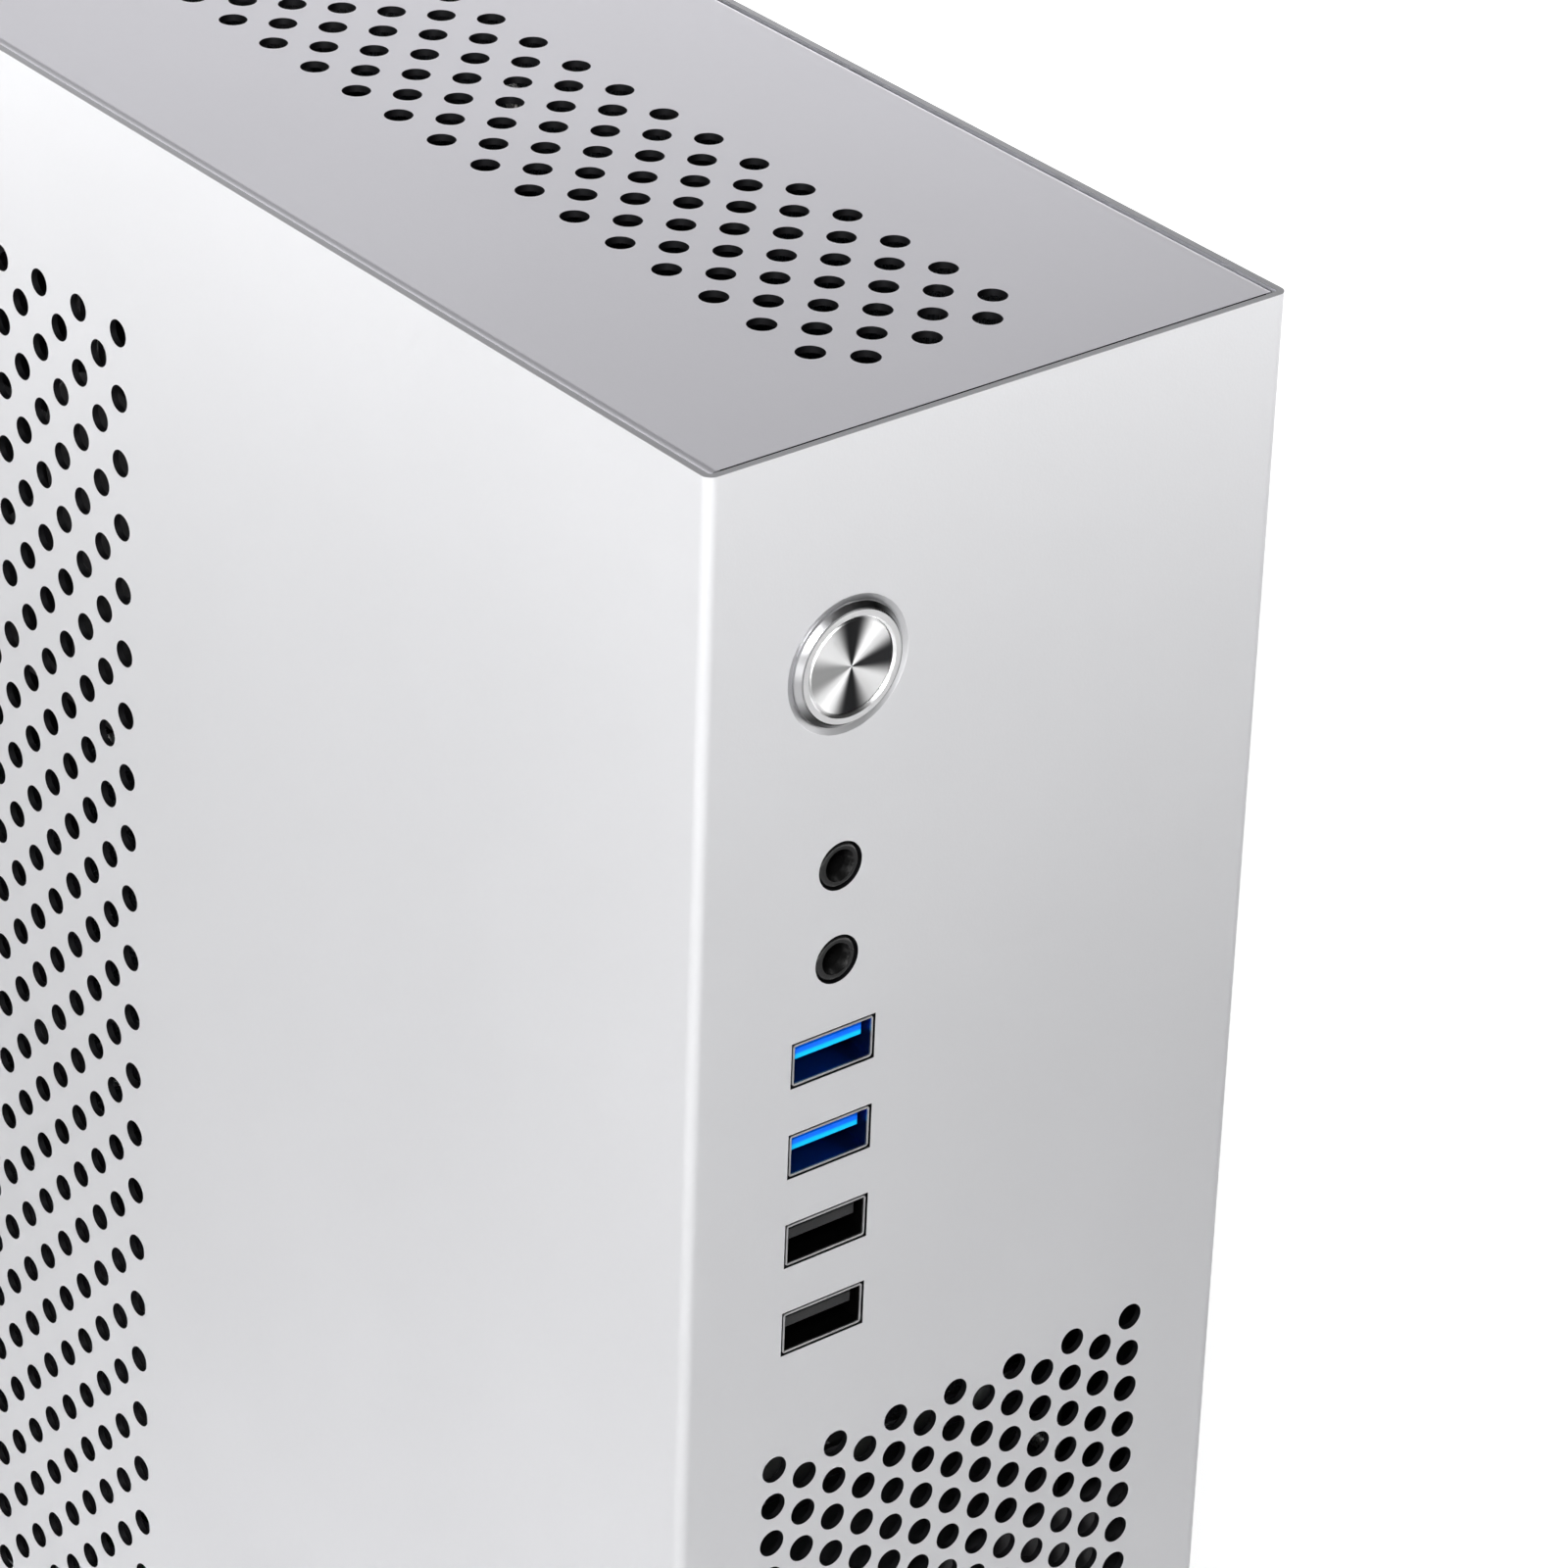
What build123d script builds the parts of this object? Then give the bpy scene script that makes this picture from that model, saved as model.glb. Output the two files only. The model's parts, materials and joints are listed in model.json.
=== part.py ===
"""Slim desktop computer tower: perforated aluminium wrap, steel chassis and everything it holds.

Frame: +X to the right seen from the front, +Y towards the back, +Z up, in millimetres.
The origin is the centre of the overall box at the floor, under the rubber feet.
"""

from build123d import *
from math import radians, sqrt, tan
import os

os.makedirs("parts", exist_ok=True)

# ---------------------------------------------------------------- overall size
body_width = 94.0
body_height = 311.0
body_depth = 276.0
foot_height = 6.0
front_proud = 0.8  # the power button's bezel in front of the front wall
rear_proud = 5.0  # thumbscrew heads behind the rear panel

left, right = -body_width / 2, body_width / 2
front = front_proud - (body_depth + front_proud + rear_proud) / 2
rear = front + body_depth
bottom, top = foot_height, foot_height + body_height

# ---------------------------------------------------------------- sheet metal
skin = 1.0  # aluminium wrap, top cover and base plate
sheet = 1.0  # steel of the chassis
bend_radius = 1.5  # outside radius of the wrap's two vertical bends
cover_bend_radius = 1.0  # outside radius of the covers' folded edges
cover_gap = 0.3  # seam between the wrap and the covers
cover_flange = 9.0  # folded edges of the top cover and base plate
rear_flange = 5.0  # the wrap's inward rear edges, in front of the rear panel
panel_face = rear - sheet  # inner face of the rear panel
flange_face = panel_face - skin  # inner face of the flanges that meet the rear panel

# ---------------------------------------------------------------- perforations
hole_radius = 2.0
square_pitch = 7.0  # between neighbours along the diagonals of the 45 degree lattice
half_step = square_pitch / sqrt(2)
hex_pitch = 6.0
hex_column = hex_pitch * sqrt(3) / 2
side_rows, side_columns = 51, 24
side_margin = (body_height - (side_rows - 1) * half_step) / 2
band_rows, band_columns = 49, 7
band_front = 15.85
grille_rows, grille_columns = 24, 13
grille_top = top - 151.7
grille_centre = grille_top - (grille_rows - 0.5) * hex_pitch / 2
vent_rows, vent_columns = 27, 6
vent_corner = (-38.0, 150.0)

# ---------------------------------------------------------------- front connectors
port_x = left + 23.1
port_pitch = 13.8
first_port_z = top - 61.4
jack_z = [first_port_z - i * port_pitch for i in (0, 1)]
usb3_z = [first_port_z - i * port_pitch for i in (2, 3)]
usb2_z = [first_port_z - i * port_pitch for i in (4, 5)]
usb_cutout = (13.8, 6.8)
usb_shell = (13.2, 6.2)
usb_wall = 0.3
usb_depth = 15.0
usb_insulator_depth = 4.0
tongue_size = (11.2, 1.84)
tongue_setback = 1.0
tongue_drop = 0.95  # from the shell's inner top to the tongue
port_setback = 0.1  # connector faces behind the front surface
jack_radius = 3.35
jack_cutout_radius = 3.5
jack_bore_radius = 1.8
jack_body = 11.6
io_board_thickness = 1.6
io_board_y = front + port_setback + usb_depth
io_board_x = (port_x - 13.0, port_x + 13.0)
io_board_z = (usb2_z[1] - 9.0, jack_z[0] + 9.0)

# ---------------------------------------------------------------- power button
button_x, button_z = port_x, top - 32.4
button_hole_radius = 8.2
button_seat_radius = 9.7  # countersunk seat in the front wall
button_seat_depth = 0.45
bezel_radius = 8.65
bezel_bevel = 0.8
barrel_radius = 8.0
barrel_length = 17.0
cap_radius = 6.65
cap_clearance = 0.06
cap_setback = 0.2  # cap face behind the bezel's
cap_thickness = 3.0
button_travel = 1.5
plunger_radius = 2.0
button_floor = front + 8.0  # where the return spring stands
spring_radius, spring_wire, spring_turns = 4.2, 0.5, 4
nut_flats, nut_height = 20.0, 2.5

# ---------------------------------------------------------------- main board
board_size = 244.0
board_thickness = 1.6
standoff_height = 6.5
tray_x = right - skin - cover_gap - 2 * sheet  # left face of the tray, inside the base's flange
board_back = tray_x - standoff_height
board_face = board_back - board_thickness
board_top = top - 14.0
board_bottom = board_top - board_size
board_rear = panel_face - 0.5
board_front = board_rear - board_size
board_hole_setbacks = (10.2, 124.5, 233.0)  # from the rear edge
board_hole_drops = (10.2, 167.6, 233.0)  # from the top edge
tray_rear = panel_face - 5.0
tab_x = right - skin - rear_flange - 2 * sheet  # the tray's tab to the rear panel
cpu_y, cpu_z = board_rear - 95.0, board_top - 70.0
slot_pitch = 20.32
io_aperture = (44.45, 158.75)
io_right = board_face + 3.8
io_left = io_right - io_aperture[0]
io_top = board_top - 7.0
io_bottom = io_top - io_aperture[1]
slot_z = [io_bottom - 14.0 - i * slot_pitch for i in range(4)]
slot_opening_x = (-27.0, 33.0)
slot_cover_x = (-36.0, 35.0)
slot_screw_x = -32.5
port_depth = 22.0

# ---------------------------------------------------------------- processor and cooler
socket_size, socket_height = (50.0, 46.0), 4.0
cpu_size, cpu_height = 37.5, 5.0
cooler_base_height = 6.0
cooler_size = 84.0
fin_height, fin_thickness, fin_pitch = 28.0, 0.6, 2.4
cooler_fan_size, cooler_fan_depth = 80.0, 15.0
cpu_top = board_face - socket_height - 1.5
fin_floor = cpu_top - cooler_base_height
fin_top = fin_floor - fin_height

# ---------------------------------------------------------------- memory
memory_y = (-41.0, -31.0)
memory_length, memory_height, memory_thickness = 133.35, 31.25, 1.27
memory_slot = (8.0, 6.5, 142.0)
memory_slot_z = (153.0, 153.0 + memory_slot[2])
latch_pivot_x, latch_pivot_z = board_face - 4.0, memory_slot_z[1] + 3.2
latch_length = 19.0

# ---------------------------------------------------------------- power supply
psu_width, psu_length, psu_height = 81.5, 150.0, 40.5
psu_sheet = 0.8
psu_bottom = bottom + skin + sheet + 0.2
psu_top = psu_bottom + psu_height
psu_front = panel_face - psu_length
psu_opening_x = (-35.0, 35.0)
psu_screw_x = 38.0
psu_fan_x = 14.5
psu_fan_size, psu_fan_depth = 38.0, 20.0
psu_fan_z = psu_bottom + psu_height / 2
inlet_x, inlet_z = -21.0, psu_bottom + 13.5
inlet_flange = (27.0, 20.0)
inlet_body = (24.0, 16.5)
inlet_cavity = (21.5, 14.0)
inlet_depth, inlet_face = 16.0, panel_face + 2.0
rocker_x, rocker_z = inlet_x, psu_top - 8.0
rocker_bezel = (15.0, 9.6)
rocker_body = (13.4, 8.0)
rocker_cavity = (11.4, 6.2)
rocker_size = (10.2, 5.7)
rocker_tilt = 8.0
rocker_pivot_y = panel_face - 1.2
cable_exit_x, cable_exit_z = 12.0, psu_bottom + 24.0

# ---------------------------------------------------------------- front fan and drive
front_fan_size, front_fan_depth = 80.0, 25.0
front_fan_face = front + skin + 1.5
bracket_y = front_fan_face + front_fan_depth
bracket_back = bracket_y + sheet
bracket_reach = 44.4
drive_size = (7.0, 100.0, 69.85)
drive_plate_x = 2.2 - bracket_reach
drive_low = (drive_plate_x, bracket_back + 2.0, 60.0)
drive_screw_inset = (14.0, 4.0)

# ---------------------------------------------------------------- fasteners
m3_radius = 1.5
m3_hole_radius = 1.6
pan_head_radius, pan_head_height = 2.8, 1.8
thumb_head_radius = 3.4
thumb_shank = 5.0
foot_radius = (8.0, 9.0)
foot_inset_x, foot_inset_y = 15.0, 25.0


# ================================================================ helpers
def block(x, y, z):
    """A box from three (low, high) pairs."""
    corner = (Align.MIN, Align.MIN, Align.MIN)
    return Pos(x[0], y[0], z[0]) * Box(x[1] - x[0], y[1] - y[0], z[1] - z[0], align=corner)


def around(centre, size):
    """The (low, high) pair of a length centred on a value."""
    return (centre - size / 2, centre + size / 2)


def rod(start, direction, radius, length):
    """A cylinder that starts at a point and runs along a direction."""
    along = Plane(origin=start, z_dir=direction)
    return along * Cylinder(radius, length, align=(Align.CENTER, Align.CENTER, Align.MIN))


def taper(start, direction, radii, length):
    """A cone frustum that starts at a point with the first radius and ends with the second."""
    along = Plane(origin=start, z_dir=direction)
    return along * Cone(*radii, length, align=(Align.CENTER, Align.CENTER, Align.MIN))


def group(items):
    """Separate solids kept in one node."""
    return Compound(children=[solid for item in items for solid in item.solids()])


def cut(body, tools):
    """The body less every tool."""
    return body - list(tools)


def staggered(columns, rows, odd=0):
    """Offsets of a 45 degree lattice: every other place, starting at the first or the second."""
    return [
        (i * half_step, j * half_step)
        for i in range(columns)
        for j in range(rows)
        if (i + j) % 2 == odd
    ]


def punches(points, direction, length, radius=hole_radius):
    """Cylinders centred on each point that punch one round hole apiece."""
    reach = Vector(direction) * (length / 2)
    return [rod(Vector(p) - reach, direction, radius, length) for p in points]


def pan_screw(seat, direction, length):
    """An M3 pan head screw whose head sits on the seat and whose thread runs along the direction."""
    back = Vector(direction) * -1
    crown = Vector(seat) + back * pan_head_height
    head = rod(seat, back, pan_head_radius, pan_head_height)
    head = fillet(head.edges().sort_by_distance(crown)[0], 0.6)
    return head + rod(seat, direction, m3_radius, length) - rod(crown, direction, 1.1, 1.0)


def hexagon_post(start, direction, flats, length):
    """A hexagonal bar that starts at a point and runs along a direction."""
    profile = Plane(origin=start, z_dir=direction) * RegularPolygon(flats / 2, 6, major_radius=False)
    return extrude(profile, amount=length)


# ================================================================ outer wrap and covers
def wrap_screw_places():
    """Where thumbscrews hold the wrap's rear edges to the rear panel, as (x, z)."""
    inset = skin + rear_flange / 2
    heights = (bottom + 24, bottom + body_height / 2, top - 24)
    return [(x, z) for x in (left + inset, right - inset) for z in heights]


def cover_screw_places():
    """Where thumbscrews hold the top cover's rear flange to the rear panel, as (x, z)."""
    return [(x, top - skin - 6.0) for x in (-27.0, 27.0)]


def side_points():
    """Hole centres in the left side: a field over its rear half."""
    first_y = rear - side_margin - (side_columns - 1) * half_step
    return [
        (left + skin / 2, first_y + y, top - side_margin - z)
        for y, z in staggered(side_columns, side_rows)
    ]


def grille_points():
    """Hole centres of the hexagonal front grille, every other column half a pitch lower."""
    middle = (grille_columns - 1) / 2
    return [
        ((i - middle) * hex_column, front + skin / 2, grille_top - (j + 0.5 * (i % 2)) * hex_pitch)
        for i in range(grille_columns)
        for j in range(grille_rows)
    ]


def band_points(z):
    """Hole centres of the band along the middle of a cover, with three and four holes by turns."""
    middle = (band_columns - 1) / 2 * half_step
    return [
        (x - middle, front + band_front + y, z) for x, y in staggered(band_columns, band_rows, odd=1)
    ]


def make_outer_shell():
    """The wrap: left side, front and right side in one bent sheet, with inward rear edges."""
    outer = block((left, right), (front, rear), (bottom, top))
    outer = fillet(outer.edges().filter_by(Axis.Z).group_by(Axis.Y)[0], bend_radius)
    room = block((left + skin, right - skin), (front + skin, rear + skin), (bottom, top))
    room = fillet(room.edges().filter_by(Axis.Z).group_by(Axis.Y)[0], bend_radius - skin)
    tall = (bottom + cover_flange + 3, top - cover_flange - 3)
    shell = outer - room
    shell += block((left, left + skin + rear_flange), (flange_face, panel_face), tall)
    shell += block((right - skin - rear_flange, right), (flange_face, panel_face), tall)

    inwards, through = (0, 1, 0), (front - skin, front + 2 * skin)
    start = (button_x, through[0], button_z)
    openings = [
        block(around(port_x, usb_cutout[0]), through, around(z, usb_cutout[1])) for z in usb3_z + usb2_z
    ]
    openings += [rod((port_x, through[0], z), inwards, jack_cutout_radius, 3 * skin) for z in jack_z]
    openings.append(rod(start, inwards, button_hole_radius, 3 * skin))
    seat = (button_seat_radius, bezel_radius + 0.05)
    openings.append(taper((button_x, front, button_z), inwards, seat, button_seat_depth))
    openings += punches(side_points(), (1, 0, 0), 2 * skin)
    openings += punches(grille_points(), inwards, 2 * skin)
    rear_points = [(x, flange_face + skin / 2, z) for x, z in wrap_screw_places()]
    openings += punches(rear_points, inwards, 2 * skin, m3_hole_radius)
    return cut(shell, openings)


def cover_tray():
    """A cover with its long edges folded down, its outer face at z = 0."""
    reach = right - skin - cover_gap
    depth = (front + skin + cover_gap, rear)
    slab = block((-reach, reach), depth, (-cover_flange, 0))
    slab = fillet(slab.edges().filter_by(Axis.Y).group_by(Axis.Z)[-1], cover_bend_radius)
    slab -= block((skin - reach, reach - skin), depth, (-cover_flange, -skin))
    # the folded edges stop at the rear panel and the flat runs on over it
    return slab - block((-reach, reach), (panel_face, rear), (-cover_flange, -skin))


def make_top_cover():
    """The top cover: a band of holes, folded long edges and a flange inside the rear panel."""
    cover = Pos(0, 0, top) * cover_tray()
    cover += block((-34, 34), (flange_face, panel_face), (top - skin - 10.0, top))
    screws = [(x, flange_face + skin / 2, z) for x, z in cover_screw_places()]
    holes = punches(band_points(top - skin / 2), (0, 0, 1), 2 * skin)
    return cut(cover, holes + punches(screws, (0, 1, 0), 2 * skin, m3_hole_radius))


def foot_places():
    """Centres of the four feet, as (x, y)."""
    return [
        (x, y)
        for x in (left + foot_inset_x, right - foot_inset_x)
        for y in (front + foot_inset_y, rear - foot_inset_y)
    ]


def make_base_plate():
    """The base plate: the same tray turned up, with an air band and the foot screw holes."""
    plate = Pos(0, 0, bottom) * mirror(cover_tray(), about=Plane.XY)
    middle = bottom + skin / 2
    holes = punches(band_points(middle), (0, 0, 1), 2 * skin)
    feet = punches([(x, y, middle) for x, y in foot_places()], (0, 0, 1), 2 * skin, m3_hole_radius)
    return cut(plate, holes + feet)


def make_feet():
    """Four rubber feet, each with a recess for its screw."""
    feet = []
    for x, y in foot_places():
        foot = taper((x, y, 0), (0, 0, 1), foot_radius, foot_height)
        foot = fillet(foot.edges().group_by(Axis.Z)[0], 1.2)
        foot -= rod((x, y, 0), (0, 0, 1), pan_head_radius + 0.4, foot_height / 2)
        feet.append(foot - rod((x, y, 0), (0, 0, 1), m3_hole_radius, foot_height))
    return group(feet)


# ================================================================ chassis
def psu_screw_places():
    """Screws that hold the power supply to the rear panel, as (x, z)."""
    return [(x, z) for x in (-psu_screw_x, psu_screw_x) for z in (psu_bottom + 6, psu_top - 6)]


def make_rear_panel():
    """The rear panel: connector aperture, slot openings, supply opening and an air vent."""
    reach = right - skin - cover_gap
    panel = block((-reach, reach), (panel_face, rear), (bottom + skin, top - skin))
    panel += block((-40, 40), (panel_face - 12, rear), (bottom + skin, bottom + skin + sheet))

    through = (panel_face - 1, rear + 1)
    openings = [block((io_left, io_right), through, (io_bottom, io_top))]
    openings += [block(slot_opening_x, through, around(z, 12.6)) for z in slot_z]
    openings.append(block(psu_opening_x, through, (psu_bottom + 0.3, psu_top - 0.3)))
    middle = panel_face + sheet / 2
    vent = [
        (vent_corner[0] + x, middle, vent_corner[1] + z) for x, z in staggered(vent_columns, vent_rows)
    ]
    screws = wrap_screw_places() + cover_screw_places() + psu_screw_places()
    screws += [(slot_screw_x, z) for z in slot_z]
    openings += punches(vent, (0, 1, 0), 2 * sheet)
    openings += punches([(x, middle, z) for x, z in screws], (0, 1, 0), 2 * sheet, m3_hole_radius)
    return cut(panel, openings)


def board_hole_places():
    """Mounting holes of the main board, as (y, z)."""
    return [(board_rear - y, board_top - z) for y in board_hole_setbacks for z in board_hole_drops]


def make_motherboard_tray():
    """The steel tray beside the right wall, with a window behind the processor."""
    tray = block((tray_x, tray_x + sheet), (bracket_back, tray_rear), (bottom + skin, top - 11))
    # a joggled tab carries it to the rear panel, inside the wrap's rear edge
    tab_z = (bottom + 50, io_bottom - 6)
    tray += block((tab_x, tray_x), (tray_rear - sheet, tray_rear), tab_z)
    tray += block((tab_x, tab_x + sheet), (tray_rear - sheet, panel_face), tab_z)
    window = block((tray_x - 1, tray_x + 2), around(cpu_y, 72), around(cpu_z, 72))
    window = fillet(window.edges().filter_by(Axis.X), 5)
    points = [(tray_x + sheet / 2, y, z) for y, z in board_hole_places()]
    return cut(tray - window, punches(points, (1, 0, 0), 2 * sheet, m3_hole_radius))


def io_standoff_places():
    """Posts behind the front connector board, as (x, z)."""
    inset = 3.5
    return [
        (x, z)
        for x in (io_board_x[0] + inset, io_board_x[1] - inset)
        for z in (io_board_z[0] + inset, io_board_z[1] - inset)
    ]


def fan_hole_offset(size):
    """Half the spacing of an axial fan's corner holes."""
    return 0.447 * size


def front_fan_screw_places():
    """Corner screws of the front fan, as (x, z)."""
    offset = fan_hole_offset(front_fan_size)
    return [(x, grille_centre + z) for x in (-offset, offset) for z in (-offset, offset)]


def make_front_bracket():
    """The bracket behind the front fan, with a column for the front connector board."""
    depth = (bracket_y, bracket_back)
    wide_top = grille_centre + front_fan_size / 2 + 5
    plate = block((-bracket_reach, tray_x + sheet), depth, (bottom + skin, wide_top))
    column_top = io_board_z[1] + 3
    plate += block((-bracket_reach, -6), depth, (wide_top, column_top))
    lip = (bracket_y, bracket_back + 10)
    plate += block((-bracket_reach, -bracket_reach + sheet), lip, (wide_top, column_top))
    openings = [
        rod((0, bracket_y - 1, grille_centre), (0, 1, 0), front_fan_size / 2 - 2, 3),
        block(
            around(port_x, 14), (bracket_y - 1, bracket_back + 1), (io_board_z[0] + 8, io_board_z[1] - 8)
        ),
    ]
    places = io_standoff_places() + front_fan_screw_places()
    openings += punches(
        [(x, bracket_y + sheet / 2, z) for x, z in places], (0, 1, 0), 2 * sheet, m3_hole_radius
    )
    return cut(plate, openings)


def make_standoffs():
    """Hexagonal posts: nine hold the main board to its tray, four the front connector board."""
    posts = []
    for y, z in board_hole_places():
        post = hexagon_post((board_back, y, z), (1, 0, 0), 5.0, standoff_height)
        post += rod((tray_x, y, z), (1, 0, 0), m3_radius, 1.9)
        posts.append(post - rod((board_back, y, z), (1, 0, 0), m3_hole_radius, 5.0))
    board_back_y = io_board_y + io_board_thickness
    for x, z in io_standoff_places():
        post = hexagon_post((x, board_back_y, z), (0, 1, 0), 5.0, bracket_y - board_back_y)
        post += rod((x, bracket_y, z), (0, 1, 0), m3_radius, 1.9)
        posts.append(post - rod((x, board_back_y, z), (0, 1, 0), m3_hole_radius, 6.0))
    return group(posts)


def drive_screw_places():
    """Screws that hold the drive to its tray, as (y, z)."""
    inset_y, inset_z = drive_screw_inset
    low_y, low_z = drive_low[1], drive_low[2]
    return [
        (y, z)
        for y in (low_y + inset_y, low_y + drive_size[1] - inset_y)
        for z in (low_z + inset_z, low_z + drive_size[2] - inset_z)
    ]


def make_drive_tray():
    """A plate beside the left wall that carries the solid state drive."""
    high = (drive_low[2] - 4, drive_low[2] + drive_size[2] + 4)
    plate_x = (drive_plate_x - sheet, drive_plate_x)
    tray = block(plate_x, (bracket_back, drive_low[1] + drive_size[1] + 4), high)
    tray += block((plate_x[0], drive_plate_x + 2.5), (bracket_back, bracket_back + sheet), high)
    points = [(plate_x[0] + sheet / 2, y, z) for y, z in drive_screw_places()]
    return cut(tray, punches(points, (1, 0, 0), 2 * sheet, m3_hole_radius))


def make_solid_state_drive():
    """A 2.5 inch drive with a stepped lid, a connector recess and tapped side holes."""
    x, y, z = ((low, low + size) for low, size in zip(drive_low, drive_size))
    drive = block(x, y, z)
    drive = fillet(drive.edges().filter_by(Axis.X), 2.0)
    drive -= block((x[1] - 0.4, x[1]), (y[0] + 3, y[1] - 3), (z[0] + 3, z[1] - 3))
    drive -= block((x[0] + 1.5, x[0] + 5.5), (y[1] - 5, y[1]), (z[0] + 6, z[0] + 40))
    holes = [rod((x[0], hy, hz), (1, 0, 0), m3_hole_radius, 3.0) for hy, hz in drive_screw_places()]
    return cut(drive, holes)


# ================================================================ main board
def make_motherboard():
    """The bare board, drilled for its nine screws."""
    board = block((board_face, board_back), (board_front, board_rear), (board_bottom, board_top))
    middle = (board_face + board_back) / 2
    points = [(middle, y, z) for y, z in board_hole_places()]
    return cut(board, punches(points, (1, 0, 0), 2 * board_thickness, m3_hole_radius))


def on_board(y, z, height):
    """A block of that height standing on the board's face."""
    return block((board_face - height, board_face), y, z)


def rear_port_stacks():
    """Rear connectors from the top down: name, centre z, size along z and height off the board."""
    return {
        "display": (io_top - 16.5, 18.0, 24.0),
        "usb_high": (io_top - 42.0, 14.4, 16.2),
        "usb_middle": (io_top - 66.0, 14.4, 16.2),
        "network": (io_top - 95.0, 16.6, 30.2),
        "usb_low": (io_top - 119.0, 14.4, 16.2),
        "audio": (io_top - 143.0, 13.0, 36.5),
    }


def port_stack(name):
    """The solid outline of one rear connector stack, its face just behind the panel's."""
    z, size, height = rear_port_stacks()[name]
    return on_board((rear - port_depth, rear - 0.2), around(z, size), height)


def usb_recesses(name, first=0.7):
    """Two receptacle mouths one above the other in a stack, each round a tongue."""
    z = rear_port_stacks()[name][0]
    mouths = []
    for i in (0, 1):
        x = board_face - first - 5.6 - i * 7.9
        mouth = block((x, x + 5.6), (rear - 12, rear), around(z, 12.6))
        mouths.append(mouth - block((x + 1.0, x + 2.8), (rear - 12, rear - 1.5), around(z, 11.2)))
    return mouths


def make_rear_usb_ports():
    """Three metal stacks of two USB receptacles."""
    return group([cut(port_stack(n), usb_recesses(n)) for n in ("usb_high", "usb_middle", "usb_low")])


def make_rear_network_port():
    """A network jack clipped on top of two USB receptacles."""
    z = rear_port_stacks()["network"][0]
    x = board_face - 29.0
    jack = block((x, x + 9.5), (rear - 14, rear), around(z, 12.0))
    latch_groove = block((x + 9.5, x + 10.3), (rear - 14, rear), around(z, 6.0))
    stack = cut(port_stack("network"), usb_recesses("network") + [jack, latch_groove])
    seam = board_face - 18.2
    lower = stack - block((x - 2, seam), (rear - port_depth, rear), around(z, 20.0))
    upper = stack - block((seam, board_face), (rear - port_depth, rear), around(z, 20.0))
    return group([upper, lower])


def make_rear_display_ports():
    """Two digital display receptacles, one above the other."""
    z = rear_port_stacks()["display"][0]
    mouths = []
    for low, wide, high in ((3.0, 15.2, 5.6), (14.0, 16.2, 5.8)):
        x = (board_face - low - high, board_face - low)
        mouth = block(x, (rear - 10, rear), around(z, wide))
        mouth = chamfer(mouth.edges().filter_by(Axis.Y).group_by(Axis.X)[-1], 1.6)
        tongue = block((x[0] + 2, x[0] + 3.4), (rear - 10, rear - 2), around(z, wide - 3))
        mouths.append(mouth - tongue)
    return cut(port_stack("display"), mouths)


def make_rear_audio_ports():
    """Three sound jacks in one block."""
    z = rear_port_stacks()["audio"][0]
    bores = [
        rod((board_face - 6.5 - 11.6 * i, rear - 16, z), (0, 1, 0), jack_bore_radius, 16)
        for i in range(3)
    ]
    return cut(port_stack("audio"), bores)


def make_io_shield():
    """The sprung plate that frames the rear connectors inside the panel's aperture."""
    gap, rim = 0.1, 1.4
    wide, tall = (io_left + gap, io_right - gap), (io_bottom + gap, io_top - gap)
    shield = block(wide, (panel_face, panel_face + 0.5), tall)
    shield += block(
        (io_left - rim, io_right + rim), (panel_face - 0.5, panel_face), (io_bottom - rim, io_top + rim)
    )
    clearance = 0.3
    tools = []
    for z, size, height in rear_port_stacks().values():
        x = (board_face - height - clearance, board_face + clearance)
        tools.append(block(x, (panel_face - 1, rear), around(z, size + 2 * clearance)))
    return cut(shield, tools)


def make_slot_covers():
    """Blank covers behind the four expansion slot openings."""
    covers = []
    for z in slot_z:
        cover = block(slot_cover_x, (panel_face - 0.8, panel_face), around(z, 18.4))
        rib = block((-20, 26), (panel_face - 1.4, panel_face - 0.8), around(z, 4.0))
        hole = rod((slot_screw_x, panel_face - 1, z), (0, 1, 0), m3_hole_radius, 2)
        covers.append(cover + rib - hole)
    return group(covers)


def make_cpu_socket():
    """The socket frame with the well that the processor drops into."""
    socket = on_board(around(cpu_y, socket_size[0]), around(cpu_z, socket_size[1]), socket_height)
    well = on_board(around(cpu_y, cpu_size + 0.2), around(cpu_z, cpu_size + 0.2), socket_height + 1)
    floor = on_board(around(cpu_y, cpu_size), around(cpu_z, cpu_size), 0.8)
    return socket - well + floor


def make_cpu():
    """The processor: a carrier and its metal lid."""
    carrier = (board_face - socket_height, board_face - 0.8)
    body = block(carrier, around(cpu_y, cpu_size), around(cpu_z, cpu_size))
    lid = block((cpu_top, carrier[0]), around(cpu_y, 30.0), around(cpu_z, 30.0))
    return body + fillet(lid.edges().filter_by(Axis.X), 2.0)


def make_cooler_heatsink():
    """The processor cooler: a base block, upright fins and four legs to the board."""
    base = block((fin_floor - 0.5, cpu_top), around(cpu_y, 42.0), around(cpu_z, 42.0))
    plate = block((fin_floor - 1.5, fin_floor), around(cpu_y, cooler_size), around(cpu_z, cooler_size))
    count = int(cooler_size / fin_pitch)
    first = cpu_y - (count - 1) * fin_pitch / 2
    fin_x, fin_z = (fin_top, fin_floor), around(cpu_z, cooler_size)
    fins = [block(fin_x, around(first + i * fin_pitch, fin_thickness), fin_z) for i in range(count)]
    legs = [
        rod((fin_floor, cpu_y + y, cpu_z + z), (1, 0, 0), 2.5, board_face - fin_floor)
        for y in (-37.5, 37.5)
        for z in (-37.5, 37.5)
    ]
    return base + plate + fins + legs


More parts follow.
